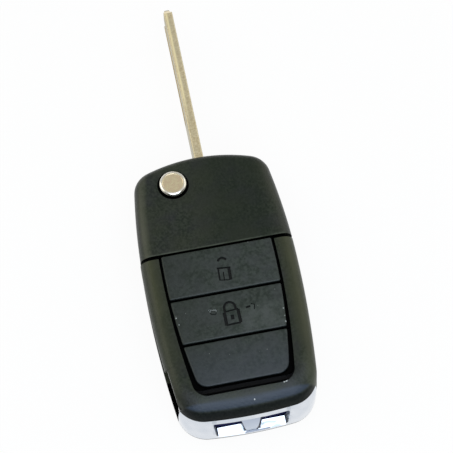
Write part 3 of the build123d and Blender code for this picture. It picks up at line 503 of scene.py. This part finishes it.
# Keys
KEY_BASE = srgb(34, 42, 39)
KEY_HOLLOW = srgb(8, 26, 17)
KEY_CREST = srgb(45, 54, 48)
KEY_BLUISH = srgb(50, 54, 56)
KEY_SPECK = srgb(128, 132, 130)
KEY_LEFT = srgb(8, 20, 14)
KEY_LEFT_X = (-14.0, 0.0)
KEY_LEFT_SHARES = (0.6, 0.1)
KEY_DUSTY = srgb(92, 98, 95)
DUSTY_X = (4.0, 14.0, 3.0)
DUSTY_Y = (-13.0, -8.5, 1.5)
DUSTY_SHARES = (0.1, 0.25)
# Painted sheen of the bluish front light, lighter and bluer towards the lowest key
KEY_LOW_SHEEN = srgb(48, 54, 68)
KEY_LOW_Y = (-22.0, -14.0)
MARK_SHADE = srgb(10, 13, 13)
MARK_DULL = 0.6
MARK_PALE = srgb(226, 232, 230)  # paler, in part of the middle key's left mark
PALE_MARK_X = (-5.5, -3.2, 0.1)
PALE_MARK_Y = (-7.5, -6.6, 0.1)
KEY_SIDE_DEPTH = (0.7, 0.45)  # below the top
DUST_PALE = srgb(176, 182, 180)
DUST = (  # x, y and radius
    (12.5, -13.3, 0.28), (12.6, -9.9, 0.2), (12.55, -11.8, 0.14), (-13.2, -7.5, 0.22), (-12.8, -9.3, 0.16),
)


def key_rubber():
    """Soft black rubber, a little dusty, with painted shade in its marks and down its sides."""
    made = Shader("key_rubber", KEY_BASE, roughness=0.5)
    x, y, z = made.axes()
    mottle = made.noise(0.75, detail=3.0)
    patches = made.noise(4.0, detail=3.0)
    face = made.mottled(mottle, 0.36, 0.64, KEY_HOLLOW, KEY_CREST)
    face = made.mottled(patches, 0.42, 0.62, face, KEY_BLUISH, most=0.5)
    specks = made.product(made.specks(1.7, 0.09), made.rise(made.noise(3.0), 0.5, 0.6, most=0.7))
    face = made.tint(face, specks, KEY_SPECK)
    face = made.tint(face, made.ramp(x, KEY_LEFT_X, KEY_LEFT_SHARES), KEY_LEFT)
    dusty = made.product(made.within(x, *DUSTY_X), made.within(y, *DUSTY_Y))
    dusty = made.product(dusty, made.ramp(patches, SMALL_PATCH_LEVELS, DUSTY_SHARES))
    face = made.tint(face, dusty, KEY_DUSTY)
    # Painted sheen of the front light towards the lowest key
    face = made.tint(face, made.fall(y, *KEY_LOW_Y, most=0.3), KEY_LOW_SHEEN)

    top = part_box("lock_button")[1][2] / MM
    # Painted shade in the engraved marks and just below the keys' top face
    mark = made.fall(z, top - MARK_DEPTH, top - 0.5 * MARK_DEPTH)
    face = made.tint(face, mark, MARK_SHADE)
    pale_part = made.product(mark, made.within(x, *PALE_MARK_X), made.within(y, *PALE_MARK_Y))
    face = made.tint(face, pale_part, MARK_PALE)
    face = made.tint(face, made.spots(x, y, DUST), DUST_PALE, strength=0.7)
    sides = made.fall(z, *[top - depth for depth in KEY_SIDE_DEPTH])
    made.colour(made.tint(face, sides, NO_LIGHT))
    made.specular(made.largest(sides, made.product(mark, MARK_DULL)), most=0.5)
    made.roughness_by(mottle, 0.42, 0.58)
    made.bump((mottle, 0.06), (made.noise(0.25), 0.012))
    return made.material


def slot_gloss():
    """Gloss black plastic, faintly wavy."""
    made = Shader("slot_gloss", srgb(10, 10, 11), roughness=0.12)
    wave = made.noise(4.0, detail=1.0)
    made.colour(made.mottled(wave, *NOISE_SPREAD, srgb(8, 8, 9), srgb(16, 16, 17)))
    made.roughness_by(wave, 0.08, 0.2)
    made.bump((wave, 0.01))
    return made.material


# Trim
TRIM_BASE = srgb(212, 217, 224)
TRIM_DIP = srgb(208, 214, 222)
TRIM_CREST = srgb(220, 224, 230)
TRIM_ROUGHNESS = (0.09, 0.15)
PILLAR_HIGH = srgb(184, 193, 209)
PILLAR_LOW = srgb(205, 214, 226)
PILLAR_X = (-3.0, 3.0, 0.1)
PILLAR_FRONT_Y = (PILLAR_Y + 1.25, PILLAR_Y + 1.45)
PILLAR_Z = (SILL_LOW_Z + 0.25, WINDOW_HIGH_Z, 0.1)
SILL_GREY = srgb(158, 165, 168)  # greyer in streaks on the right window's sill
SILL_GREY_STRETCH = (0.35, 1.0, 1.0)
SILL_GREY_X = (2.6, 6.8, 0.8)
SILL_GREY_Z = (SILL_LOW_Z + 0.03, SILL_Z - 0.02, 0.02)
# Painted shade in the corners round the pillar
CORNER_SHADE = srgb(48, 51, 66)
PILLAR_EDGE_Z = (SILL_Z, SILL_Z + 5.1)  # the pillar widens upwards between these
PILLAR_EDGE_X = (1.45, 2.55)
RIGHT_SHADE = (-0.42, 0.3, 0.1)  # from the pillar's right edge
LEFT_SHADE = (-0.3, 0.05, 0.1)  # and from its left edge
LEFT_SHADE_SHARE = 0.7
RIM_DEPTH = (0.32, 0.4)  # painted shade line along the sills' front rim, inwards from the end face
RIM_X = (-1.7, 4.2, 0.3)
RIM_Z = (3.38, 3.6, 0.02)
RIM_SHARE = 0.75
WALL_DEPTH = (0.1, 0.2)  # the windows' outer walls
WALL_X = (8.5, 9.4, 0.1)  # out from the middle
WALL_Z = (SILL_Z - 0.5, SILL_Z)
WALL_DULL = 1.6
TRIM_DULLING = 0.22  # added to the roughness where the trim is dull


def bright_trim():
    """Bright plating, faintly rippled, duller on the pillar, with painted shade in the corners round it."""
    made = Shader("bright_trim", TRIM_BASE, roughness=0.12, metallic=1.0)
    x, y, z = made.axes()
    wave = made.noise(3.5, detail=1.0)
    plate = made.mottled(wave, *MOTTLE_LEVELS, TRIM_DIP, TRIM_CREST)
    front = made.fall(y, *PILLAR_FRONT_Y)
    tall = made.within(z, *PILLAR_Z)
    pillar = made.product(front, tall, made.within(x, *PILLAR_X))
    plate = made.tint(plate, pillar, made.mix(made.fall(z, SILL_Z, WINDOW_HIGH_Z), PILLAR_HIGH, PILLAR_LOW))
    streaks = made.noise(1.1, detail=1.0, vector=made.stretched(SILL_GREY_STRETCH))
    grey_sill = made.product(made.within(z, *SILL_GREY_Z), made.within(x, *SILL_GREY_X))
    grey_sill = made.product(grey_sill, made.rise(streaks, 0.42, 0.58))
    plate = made.tint(plate, grey_sill, SILL_GREY)

    # Painted shade beside the pillar and along the sills' front rim
    edge_x = made.ramp(z, PILLAR_EDGE_Z, PILLAR_EDGE_X)
    right = made.within(made.less(x, edge_x), *RIGHT_SHADE)
    left = made.within(made.add(x, edge_x), *LEFT_SHADE)
    beside = made.product(made.largest(right, made.product(left, LEFT_SHADE_SHARE)), front, tall)
    bow = made.product(x, x, 0.5 / END_BOW_R)
    depth = made.less(made.less(y, END_Y), bow)
    rim = made.product(made.fall(depth, *RIM_DEPTH), made.within(z, *RIM_Z))
    rim = made.product(rim, made.within(x, *RIM_X), RIM_SHARE)
    corner_shade = made.largest(beside, rim)
    made.colour(made.tint(plate, corner_shade, CORNER_SHADE))

    wall = made.product(made.rise(depth, *WALL_DEPTH), made.rise(z, *WALL_Z))
    wall = made.product(wall, made.within(made.size(x), *WALL_X), WALL_DULL)
    dull = made.largest(pillar, corner_shade, wall)
    smooth = made.ramp(wave, NOISE_SPREAD, TRIM_ROUGHNESS)
    made.roughness(made.add(smooth, made.product(dull, TRIM_DULLING)))
    made.bump((wave, 0.012))
    return made.material


# Blade
BLADE_BASE = srgb(230, 212, 172)
BLADE_DIP = srgb(222, 204, 164)
BLADE_CREST = srgb(250, 236, 202)
BLADE_ROUGHNESS = (0.3, 0.42)
BLADE_CLOUD = srgb(226, 218, 190)
BLADE_HIGHLIGHT = srgb(255, 242, 202)
BLADE_SIDE_SHADE = srgb(170, 162, 132)
BLADE_TIP_SHADE = srgb(120, 114, 84)
BLADE_LINES = (1.0, 0.03, 1.0)  # stretched along the blade
STREAK_FROM_LEFT = (0.48, 0.8)
STREAK_SOFT = 0.2
STREAK_BELOW_TOP = (0.3, 0.2)
STREAK_BELOW_TIP = (38.0, 28.0)
STREAK_DULLING = 0.25  # added to the roughness
BLADE_SIDE_DEPTH = (0.02, 0.12)
BLADE_TIP_DEPTH = (1.0, 0.1)


def blade_metal():
    """Plated steel with a sandy grain, with a painted highlight near its left edge, and painted shade along
    its sides and at its tip.
    """
    made = Shader("blade_metal", BLADE_BASE, roughness=0.34, metallic=1.0)
    x, y, z = made.axes()
    lines = made.noise(0.35, vector=made.stretched(BLADE_LINES))
    sand = made.noise(0.45, detail=3.0)
    clouds = made.noise(3.0, detail=3.0)
    colour = made.mottled(sand, 0.32, 0.68, BLADE_DIP, BLADE_CREST)
    colour = made.mottled(clouds, 0.4, 0.7, colour, BLADE_CLOUD, most=0.5)

    low_corner, high_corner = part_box("key_blade")
    left = low_corner[0] / MM
    right, tip, top = [value / MM for value in high_corner]
    # Painted highlight in a streak near the left edge
    near, far = [left + distance for distance in STREAK_FROM_LEFT]
    pale_part = made.product(
        made.within(x, near, far, STREAK_SOFT),
        made.rise(z, *[top - depth for depth in STREAK_BELOW_TOP]),
        made.rise(y, *[tip - depth for depth in STREAK_BELOW_TIP]),
    )
    colour = made.tint(colour, pale_part, BLADE_HIGHLIGHT)
    # Painted shade along both side edges
    inward = made.smaller(made.less(x, left), made.less(right, x))
    colour = made.tint(colour, made.fall(inward, *BLADE_SIDE_DEPTH), BLADE_SIDE_SHADE)
    # Painted shade over the tip
    made.colour(made.tint(colour, made.rise(y, *[tip - depth for depth in BLADE_TIP_DEPTH]), BLADE_TIP_SHADE))
    sandy = made.ramp(sand, NOISE_SPREAD, BLADE_ROUGHNESS)
    made.roughness(made.add(sandy, made.product(pale_part, STREAK_DULLING)))
    made.bump((lines, 0.001), (sand, 0.004))
    return made.material


# Release button
BUTTON_BASE = srgb(232, 214, 182)
BUTTON_DIP = srgb(242, 220, 188)
BUTTON_CREST = srgb(246, 232, 194)
BUTTON_ROUGHNESS = (0.2, 0.28)
BUTTON_RIM = srgb(255, 250, 238)
BUTTON_SIDE_SHADE = srgb(70, 66, 60)
BUTTON_RIM_R = (2.6, 2.8)
BUTTON_RIM_POLISH = 0.08  # taken off the roughness
BUTTON_SIDE_DEPTH = (0.75, 0.4)


def button_metal():
    """Satin nickel with a fine grain, smoother and brighter on its rim, with painted shade down its side.
    """
    made = Shader("button_metal", BUTTON_BASE, roughness=0.3, metallic=1.0)
    x, y, z = made.axes()
    satin = made.noise(0.8, detail=3.0)
    face = made.mottled(satin, *MOTTLE_LEVELS, BUTTON_DIP, BUTTON_CREST)
    rim = made.rise(made.from_button(x, y), *BUTTON_RIM_R)
    face = made.tint(face, rim, BUTTON_RIM)
    top = button_centre().z
    # Painted shade down the cap's side
    shaded_side = made.fall(z, *[top - depth for depth in BUTTON_SIDE_DEPTH])
    made.colour(made.tint(face, shaded_side, BUTTON_SIDE_SHADE))
    brushed = made.ramp(satin, NOISE_SPREAD, BUTTON_ROUGHNESS)
    made.roughness(made.less(brushed, made.product(rim, BUTTON_RIM_POLISH)))
    made.bump((satin, 0.003), (made.noise(0.15), 0.0004))
    return made.material


# Board, coil and plain materials
TRACK_SPACING = 4.0
TRACK_WIDTH = 0.035  # share of the spacing
WIRE_SCALE = 0.35  # of the wave, which gives about 1.1 turns to a millimetre
METAL_GRAIN = 0.6
METAL_DEPTH = 0.004
PLASTIC_GRAIN = 0.3
PLASTIC_DEPTH = 0.008
ROUGHNESS_SPREAD = 0.06


def board_laminate():
    """Green solder mask over copper tracks."""
    made = Shader("board_laminate", srgb(22, 84, 48), roughness=0.32)
    tracks = made.node("ShaderNodeTexBrick")
    tracks.inputs["Scale"].default_value = 1.0 / (TRACK_SPACING * MM)
    tracks.inputs["Mortar Size"].default_value = TRACK_WIDTH
    made.link(made.place, tracks.inputs["Vector"])
    mask = made.mottled(made.noise(0.5), *NOISE_SPREAD, srgb(18, 78, 44), srgb(28, 92, 54))
    made.colour(made.mix(tracks.outputs["Fac"], mask, srgb(58, 128, 70)))
    made.bump((tracks.outputs["Fac"], 0.03))
    return made.material


def coil_ferrite():
    """Copper wire wound side by side, in dark ferrite."""
    made = Shader("coil_ferrite", srgb(52, 40, 34), roughness=0.45)
    turns = made.node("ShaderNodeTexWave")
    turns.inputs["Scale"].default_value = WIRE_SCALE / MM
    made.link(made.place, turns.inputs["Vector"])
    made.colour(made.mix(turns.outputs["Fac"], srgb(40, 30, 26), srgb(150, 88, 52)))
    made.bump((turns.outputs["Fac"], 0.05))
    return made.material


def plain(name, colours, roughness, grain_mm, depth_mm, metallic):
    """Metal or plastic with a fine mottle."""
    first, second = colours
    made = Shader(name, first, roughness, metallic)
    grain = made.noise(grain_mm, detail=3.0)
    made.colour(made.mottled(grain, *MOTTLE_LEVELS, first, second))
    made.roughness_by(grain, roughness - ROUGHNESS_SPREAD, roughness + ROUGHNESS_SPREAD)
    made.bump((grain, depth_mm))
    return made.material


def plain_metal(name, first, second, roughness, depth_mm=METAL_DEPTH):
    return plain(name, (first, second), roughness, METAL_GRAIN, depth_mm, metallic=1.0)


def plain_plastic(name, first, second, roughness):
    return plain(name, (first, second), roughness, PLASTIC_GRAIN, PLASTIC_DEPTH, metallic=0.0)


MATERIALS = {
    "shell_plastic": shell_plastic(),
    "key_rubber": key_rubber(),
    "slot_gloss": slot_gloss(),
    "bright_trim": bright_trim(),
    "blade_metal": blade_metal(),
    "button_metal": button_metal(),
    "carrier_metal": plain_metal("carrier_metal", srgb(196, 196, 192), srgb(168, 168, 166), 0.42, 0.01),
    "pin_steel": plain_metal("pin_steel", srgb(186, 186, 184), srgb(166, 166, 166), 0.3),
    "spring_steel": plain_metal("spring_steel", srgb(176, 176, 178), srgb(150, 152, 156), 0.28),
    "switch_metal": plain_metal("switch_metal", srgb(206, 206, 203), srgb(184, 184, 182), 0.3),
    "crystal_metal": plain_metal("crystal_metal", srgb(214, 214, 212), srgb(196, 196, 195), 0.25),
    "battery_metal": plain_metal("battery_metal", srgb(212, 212, 209), srgb(196, 196, 194), 0.26),
    "contact_metal": plain_metal("contact_metal", srgb(214, 198, 154), srgb(190, 172, 128), 0.3),
    "transponder_body": plain_plastic("transponder_body", srgb(24, 24, 25), srgb(32, 32, 33), 0.5),
    # membrane_rubber is near black: painted shade where it shows in the gap round the keys
    "membrane_rubber": plain_plastic("membrane_rubber", srgb(3, 3, 4), srgb(8, 8, 9), 0.9),
    "board_laminate": board_laminate(),
    "chip_plastic": plain_plastic("chip_plastic", srgb(20, 20, 22), srgb(28, 28, 30), 0.5),
    "coil_ferrite": coil_ferrite(),
    "capacitor_body": plain_plastic("capacitor_body", srgb(150, 118, 84), srgb(132, 100, 70), 0.45),
    "tray_plastic": plain_plastic("tray_plastic", srgb(26, 26, 26), srgb(34, 34, 34), 0.55),
}


def dress_nodes():
    """Every CAD node takes the material of its slot in the record."""
    for part in frame["record"]["subparts"]:
        mesh = NODES[part["node"]].data
        mesh.materials.clear()
        mesh.materials.append(MATERIALS[part["material_slot"]])


# Mesh helpers, in millimetres until the mesh is made
def mesh_from(work, name):
    """Turns a bmesh into a mesh in metres."""
    bmesh.ops.recalc_face_normals(work, faces=work.faces)
    bmesh.ops.scale(work, vec=(MM, MM, MM), verts=work.verts)
    mesh = bpy.data.meshes.new(name)
    work.to_mesh(mesh)
    work.free()
    return mesh


def add_object(name, mesh):
    made = bpy.data.objects.new(name, mesh)
    bpy.context.scene.collection.objects.link(made)
    return made


def finish_piece(work, name, slot, body, *replaced):
    """Turns a bmesh into a piece of the part, which stands for the nodes named last."""
    mesh = mesh_from(work, name)
    mesh.shade_smooth()
    mesh.set_sharp_from_angle(angle=SHARP_ANGLE)
    mesh.materials.append(MATERIALS[slot])
    piece = add_object(name, mesh)
    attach(piece, body)
    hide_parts(*replaced)
    return piece


def bridge(work, lower, upper):
    """Quads between two closed rings of as many vertices."""
    count = len(lower)
    for number in range(count):
        after = (number + 1) % count
        work.faces.new((lower[number], lower[after], upper[after], upper[number]))


def loft_rings(work, rings):
    """Closed solid through rings of points, capped at both ends."""
    loops = [[work.verts.new(point) for point in ring] for ring in rings]
    for lower, upper in zip(loops, loops[1:]):
        bridge(work, lower, upper)
    work.faces.new(loops[0][::-1])
    work.faces.new(loops[-1])


# Keypad
def arc_points(centre_x, centre_y, radius, start, end, steps=CORNER_STEPS):
    """Points along an arc, between two angles in degrees."""
    angles = [math.radians(start + (end - start) * step / steps) for step in range(steps + 1)]
    return [(centre_x + radius * math.cos(a), centre_y + radius * math.sin(a)) for a in angles]


def key_plan(low_y, high_y, low_r, half, bow_r):
    """Plan of a key, anticlockwise: bowed sides, and corners that run into them smoothly."""
    side_x = half - bow_r
    ends = []
    for y, radius in ((low_y + low_r, low_r), (high_y - KEY_CORNER, KEY_CORNER)):
        angle = math.asin((y - WIDEST_Y) / (bow_r - radius))
        ends.append((side_x + (bow_r - radius) * math.cos(angle), y, radius, math.degrees(angle)))
    low, high = ends
    right = arc_points(*low[:3], -90, low[3])
    right += arc_points(side_x, WIDEST_Y, bow_r, low[3], high[3], SIDE_STEPS)[1:-1]
    right += arc_points(*high[:3], high[3], 90)
    plan = right + [(-x, y) for x, y in reversed(right)]
    return [(x + KEYPAD_X, y) for x, y in plan]


def key_solid(node, low_r):
    """One key with its flange, in its node's box, with this radius at its two lower corners."""
    low, high = [Vector(corner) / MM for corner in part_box(node)]
    shelf = low.z + KEY_LIP_THICKNESS
    lip = key_plan(low.y, high.y, low_r, OPENING_HALF + KEY_LIP, OPENING_BOW_R)
    foot = key_plan(low.y, high.y, low_r, PAD_HALF, PAD_BOW_R)
    levels = [(lip, low.z), (lip, shelf), (foot, shelf + KEY_FOOT_STEP)]
    for inset, height in KEY_ROLL:
        limits = (low.y + inset, high.y - inset, max(low_r - inset, KEY_CORNER))
        levels.append((key_plan(*limits, PAD_HALF - inset, PAD_BOW_R - inset), high.z + height))
    work = bmesh.new()
    loft_rings(work, [[(x, y, z) for x, y in plan] for plan, z in levels])
    return work


def stroke(work, width, points, low_z, high_z):
    """Upright ribbon along a line of points, closed where the last point is the first."""
    closed = points[0] == points[-1]
    if closed:
        points = points[:-1]
    count = len(points)
    corners = []
    for number, (x, y) in enumerate(points):
        before = points[number - 1] if closed or number else points[number]
        after = points[(number + 1) % count] if closed or number < count - 1 else points[number]
        along = Vector((after[0] - before[0], after[1] - before[1])).normalized() * width / 2
        left = (x - along.y, y + along.x)
        right = (x + along.y, y - along.x)
        plan = ((*left, low_z), (*right, low_z), (*right, high_z), (*left, high_z))
        corners.append([work.verts.new(point) for point in plan])
    for first, second in zip(corners, corners[1:]):
        bridge(work, first, second)
    if closed:
        bridge(work, corners[-1], corners[0])
    else:
        work.faces.new(corners[0][::-1])
        work.faces.new(corners[-1])


# Each mark is a list of lines, with their widths; the middle key's side marks are a horn and a beam
OPEN_PADLOCK = [
    (0.6, arc_points(0.5, 4.85, 1.05, 20, 165)),
    (0.45, [(-1.15, 3.35), (2.2, 3.05)]),
    (0.4, [(-0.85, 3.1), (-0.95, 0.3)]),
    (0.75, [(1.75, 3.0), (1.65, -0.2)]),
    (0.25, [(0.25, 2.2), (0.1, -0.2)]),
    (0.25, [(-1.1, 0.2), (1.6, -0.15)]),
]
CLOSED_PADLOCK = [
    (0.6, [(-1.4, -8.1), *arc_points(-0.05, -7.2, 1.35, 180, 0), (1.3, -7.9)]),
    (0.4, [(-1.6, -8.2), (1.9, -7.9)]),
    (0.8, [(-1.6, -8.3), (-1.6, -11.7)]),
    (0.8, [(1.8, -8.0), (1.85, -11.5)]),
    (0.5, [(-1.6, -11.6), (1.9, -11.5)]),
    (0.8, [(0.15, -9.2), (0.15, -10.4)]),
    (0.25, [(-5.1, -6.9), (-3.4, -7.25), (-3.6, -8.3), (-4.7, -8.2), (-5.1, -6.9)]),
    (0.5, [(3.8, -8.0), (4.9, -7.85)]),
    (0.25, [(5.2, -7.25), (6.0, -7.6), (5.7, -8.8)]),
]


def engrave(piece, marks, top):
    """Cuts marks into a key's top face."""
    work = bmesh.new()
    for width, points in marks:
        stroke(work, width, points, top - MARK_DEPTH, top + MARK_DEPTH)
    cutter = add_object("marks", mesh_from(work, "marks"))
    cut = piece.modifiers.new("marks", "BOOLEAN")
    cut.operation = "DIFFERENCE"
    cut.solver = "EXACT"
    cut.use_self = True
    cut.object = cutter
    shape = piece.evaluated_get(bpy.context.evaluated_depsgraph_get())
    carved = bpy.data.meshes.new_from_object(shape)
    piece.modifiers.clear()
    carved.name = piece.name
    carved.set_sharp_from_angle(angle=SHARP_ANGLE)
    piece.data = carved
    bpy.data.objects.remove(cutter)


def add_keys():
    for key, marks in (("unlock", OPEN_PADLOCK), ("lock", CLOSED_PADLOCK), ("boot", None)):
        node = f"{key}_button"
        work = key_solid(node, KEY_CORNER if marks else PAD_CORNER)
        piece = finish_piece(work, f"{key}_key_top", "key_rubber", f"{key}_key", node)
        if marks:
            engrave(piece, marks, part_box(node)[1][2] / MM)


# Release button and flip spring
CAP_STEM_R = 1.6
CAP_FLANGE_R = 4.5
CAP_FLANGE_Z = 11.95  # underside
CAP_SHOULDER_Z = 12.75
CAP_SHOULDER_RISE = 0.01  # from the flange's rim to the foot of the cap's side
CAP_RIM = (  # radius, and depth below the top
    (3.45, 0.7), (3.4, 0.47), (3.29, 0.28), (3.13, 0.13), (2.95, 0.04), (2.76, 0.0),
    (2.6, 0.01), (2.52, 0.06), (2.44, 0.08), (1.6, 0.06), (0.1, 0.05),
)


def turned(work, centre_x, centre_y, profile):
    """Solid of revolution through radius and height pairs, with a flat cap at both ends."""
    rings = []
    for radius, z in profile:
        ring = []
        for step in range(TURN_STEPS):
            angle = 2 * math.pi * step / TURN_STEPS
            ring.append((centre_x + radius * math.cos(angle), centre_y + radius * math.sin(angle), z))
        rings.append(ring)
    loft_rings(work, rings)


def add_release_button():
    """Turned cap with a rolled bright rim round a slightly sunk face, on its flange and stem."""
    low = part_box("release_button")[0][2] / MM
    centre = button_centre()
    profile = [
        (CAP_STEM_R, low),
        (CAP_STEM_R, CAP_FLANGE_Z),
        (CAP_FLANGE_R, CAP_FLANGE_Z),
        (CAP_FLANGE_R, CAP_SHOULDER_Z),
        (CAP_RIM[0][0], CAP_SHOULDER_Z + CAP_SHOULDER_RISE),
    ]
    profile += [(radius, centre.z - depth) for radius, depth in CAP_RIM]
    work = bmesh.new()
    turned(work, centre.x, centre.y, profile)
    finish_piece(work, "release_cap", "button_metal", "release", "release_button")


def add_flip_coil():
    """The flip spring again, in the same form."""
    coil = add_object("flip_coil", NODES["flip_spring"].data.copy())
    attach(coil, "housing")
    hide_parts("flip_spring")
    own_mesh(coil)


# Stage
def add_floor():
    """Pale floor that takes shadows, and that the camera and reflections see as nearly white."""
    mesh = bpy.data.meshes.new("floor")
    half = FLOOR_HALF
    corners = [(-half, -half, 0), (half, -half, 0), (half, half, 0), (-half, half, 0)]
    mesh.from_pydata(corners, [], [(0, 1, 2, 3)])
    floor = add_object("floor", mesh)
    made = Shader("floor", FLOOR_COLOUR, FLOOR_ROUGHNESS)
    glow = made.node("ShaderNodeEmission")
    path = made.node("ShaderNodeLightPath")
    rays = [path.outputs[f"Is {kind} Ray"] for kind in ("Camera", "Glossy", "Transmission")]
    mix = made.node("ShaderNodeMixShader")
    made.link(made.product(made.largest(*rays), FLOOR_WHITE), mix.inputs["Fac"])
    made.link(made.bsdf.outputs[0], mix.inputs[1])
    made.link(glow.outputs[0], mix.inputs[2])
    made.link(mix.outputs[0], made.tree.nodes["Material Output"].inputs["Surface"])
    mesh.materials.append(made.material)


def add_world():
    """Even light from all round, but dim behind the camera, near the floor."""
    world = bpy.data.worlds.new("studio")
    bpy.context.scene.world = world
    world.use_nodes = True
    sky = Tree(world.node_tree)
    background = sky.tree.nodes["Background"]
    background.inputs["Color"].default_value = WORLD_COLOUR
    towards = sky.split(sky.node("ShaderNodeTexCoord").outputs["Generated"])
    smooth = {"interpolation_type": "SMOOTHSTEP"}
    front = sky.ramp(towards["Y"], DIM_FRONT_Y, (1.0, 0.0), **smooth)
    low = sky.ramp(towards["Z"], DIM_LOW_Z, (1.0, 0.0), **smooth)
    unseen = sky.less(1.0, sky.node("ShaderNodeLightPath").outputs["Is Camera Ray"])
    dim = sky.product(front, low, unseen)
    strength = sky.ramp(dim, (0.0, 1.0), (WORLD_STRENGTH, WORLD_DIM), **smooth)
    sky.link(strength, background.inputs["Strength"])


def add_lamps():
    """Square soft lamps that look at the key."""
    for name, azimuth, elevation, size, power, colour in LAMPS:
        data = bpy.data.lights.new(name, "AREA")
        data.shape = "SQUARE"
        data.size = size
        data.energy = power
        data.color = colour
        lamp = bpy.data.objects.new(name, data)
        aim(lamp, LAMP_TARGET, direction(azimuth, elevation), LAMP_DISTANCE)


add_camera()
dress_nodes()
add_keys()
add_release_button()
add_flip_coil()
add_floor()
add_world()
add_lamps()
bpy.context.scene.view_settings.view_transform = "Standard"
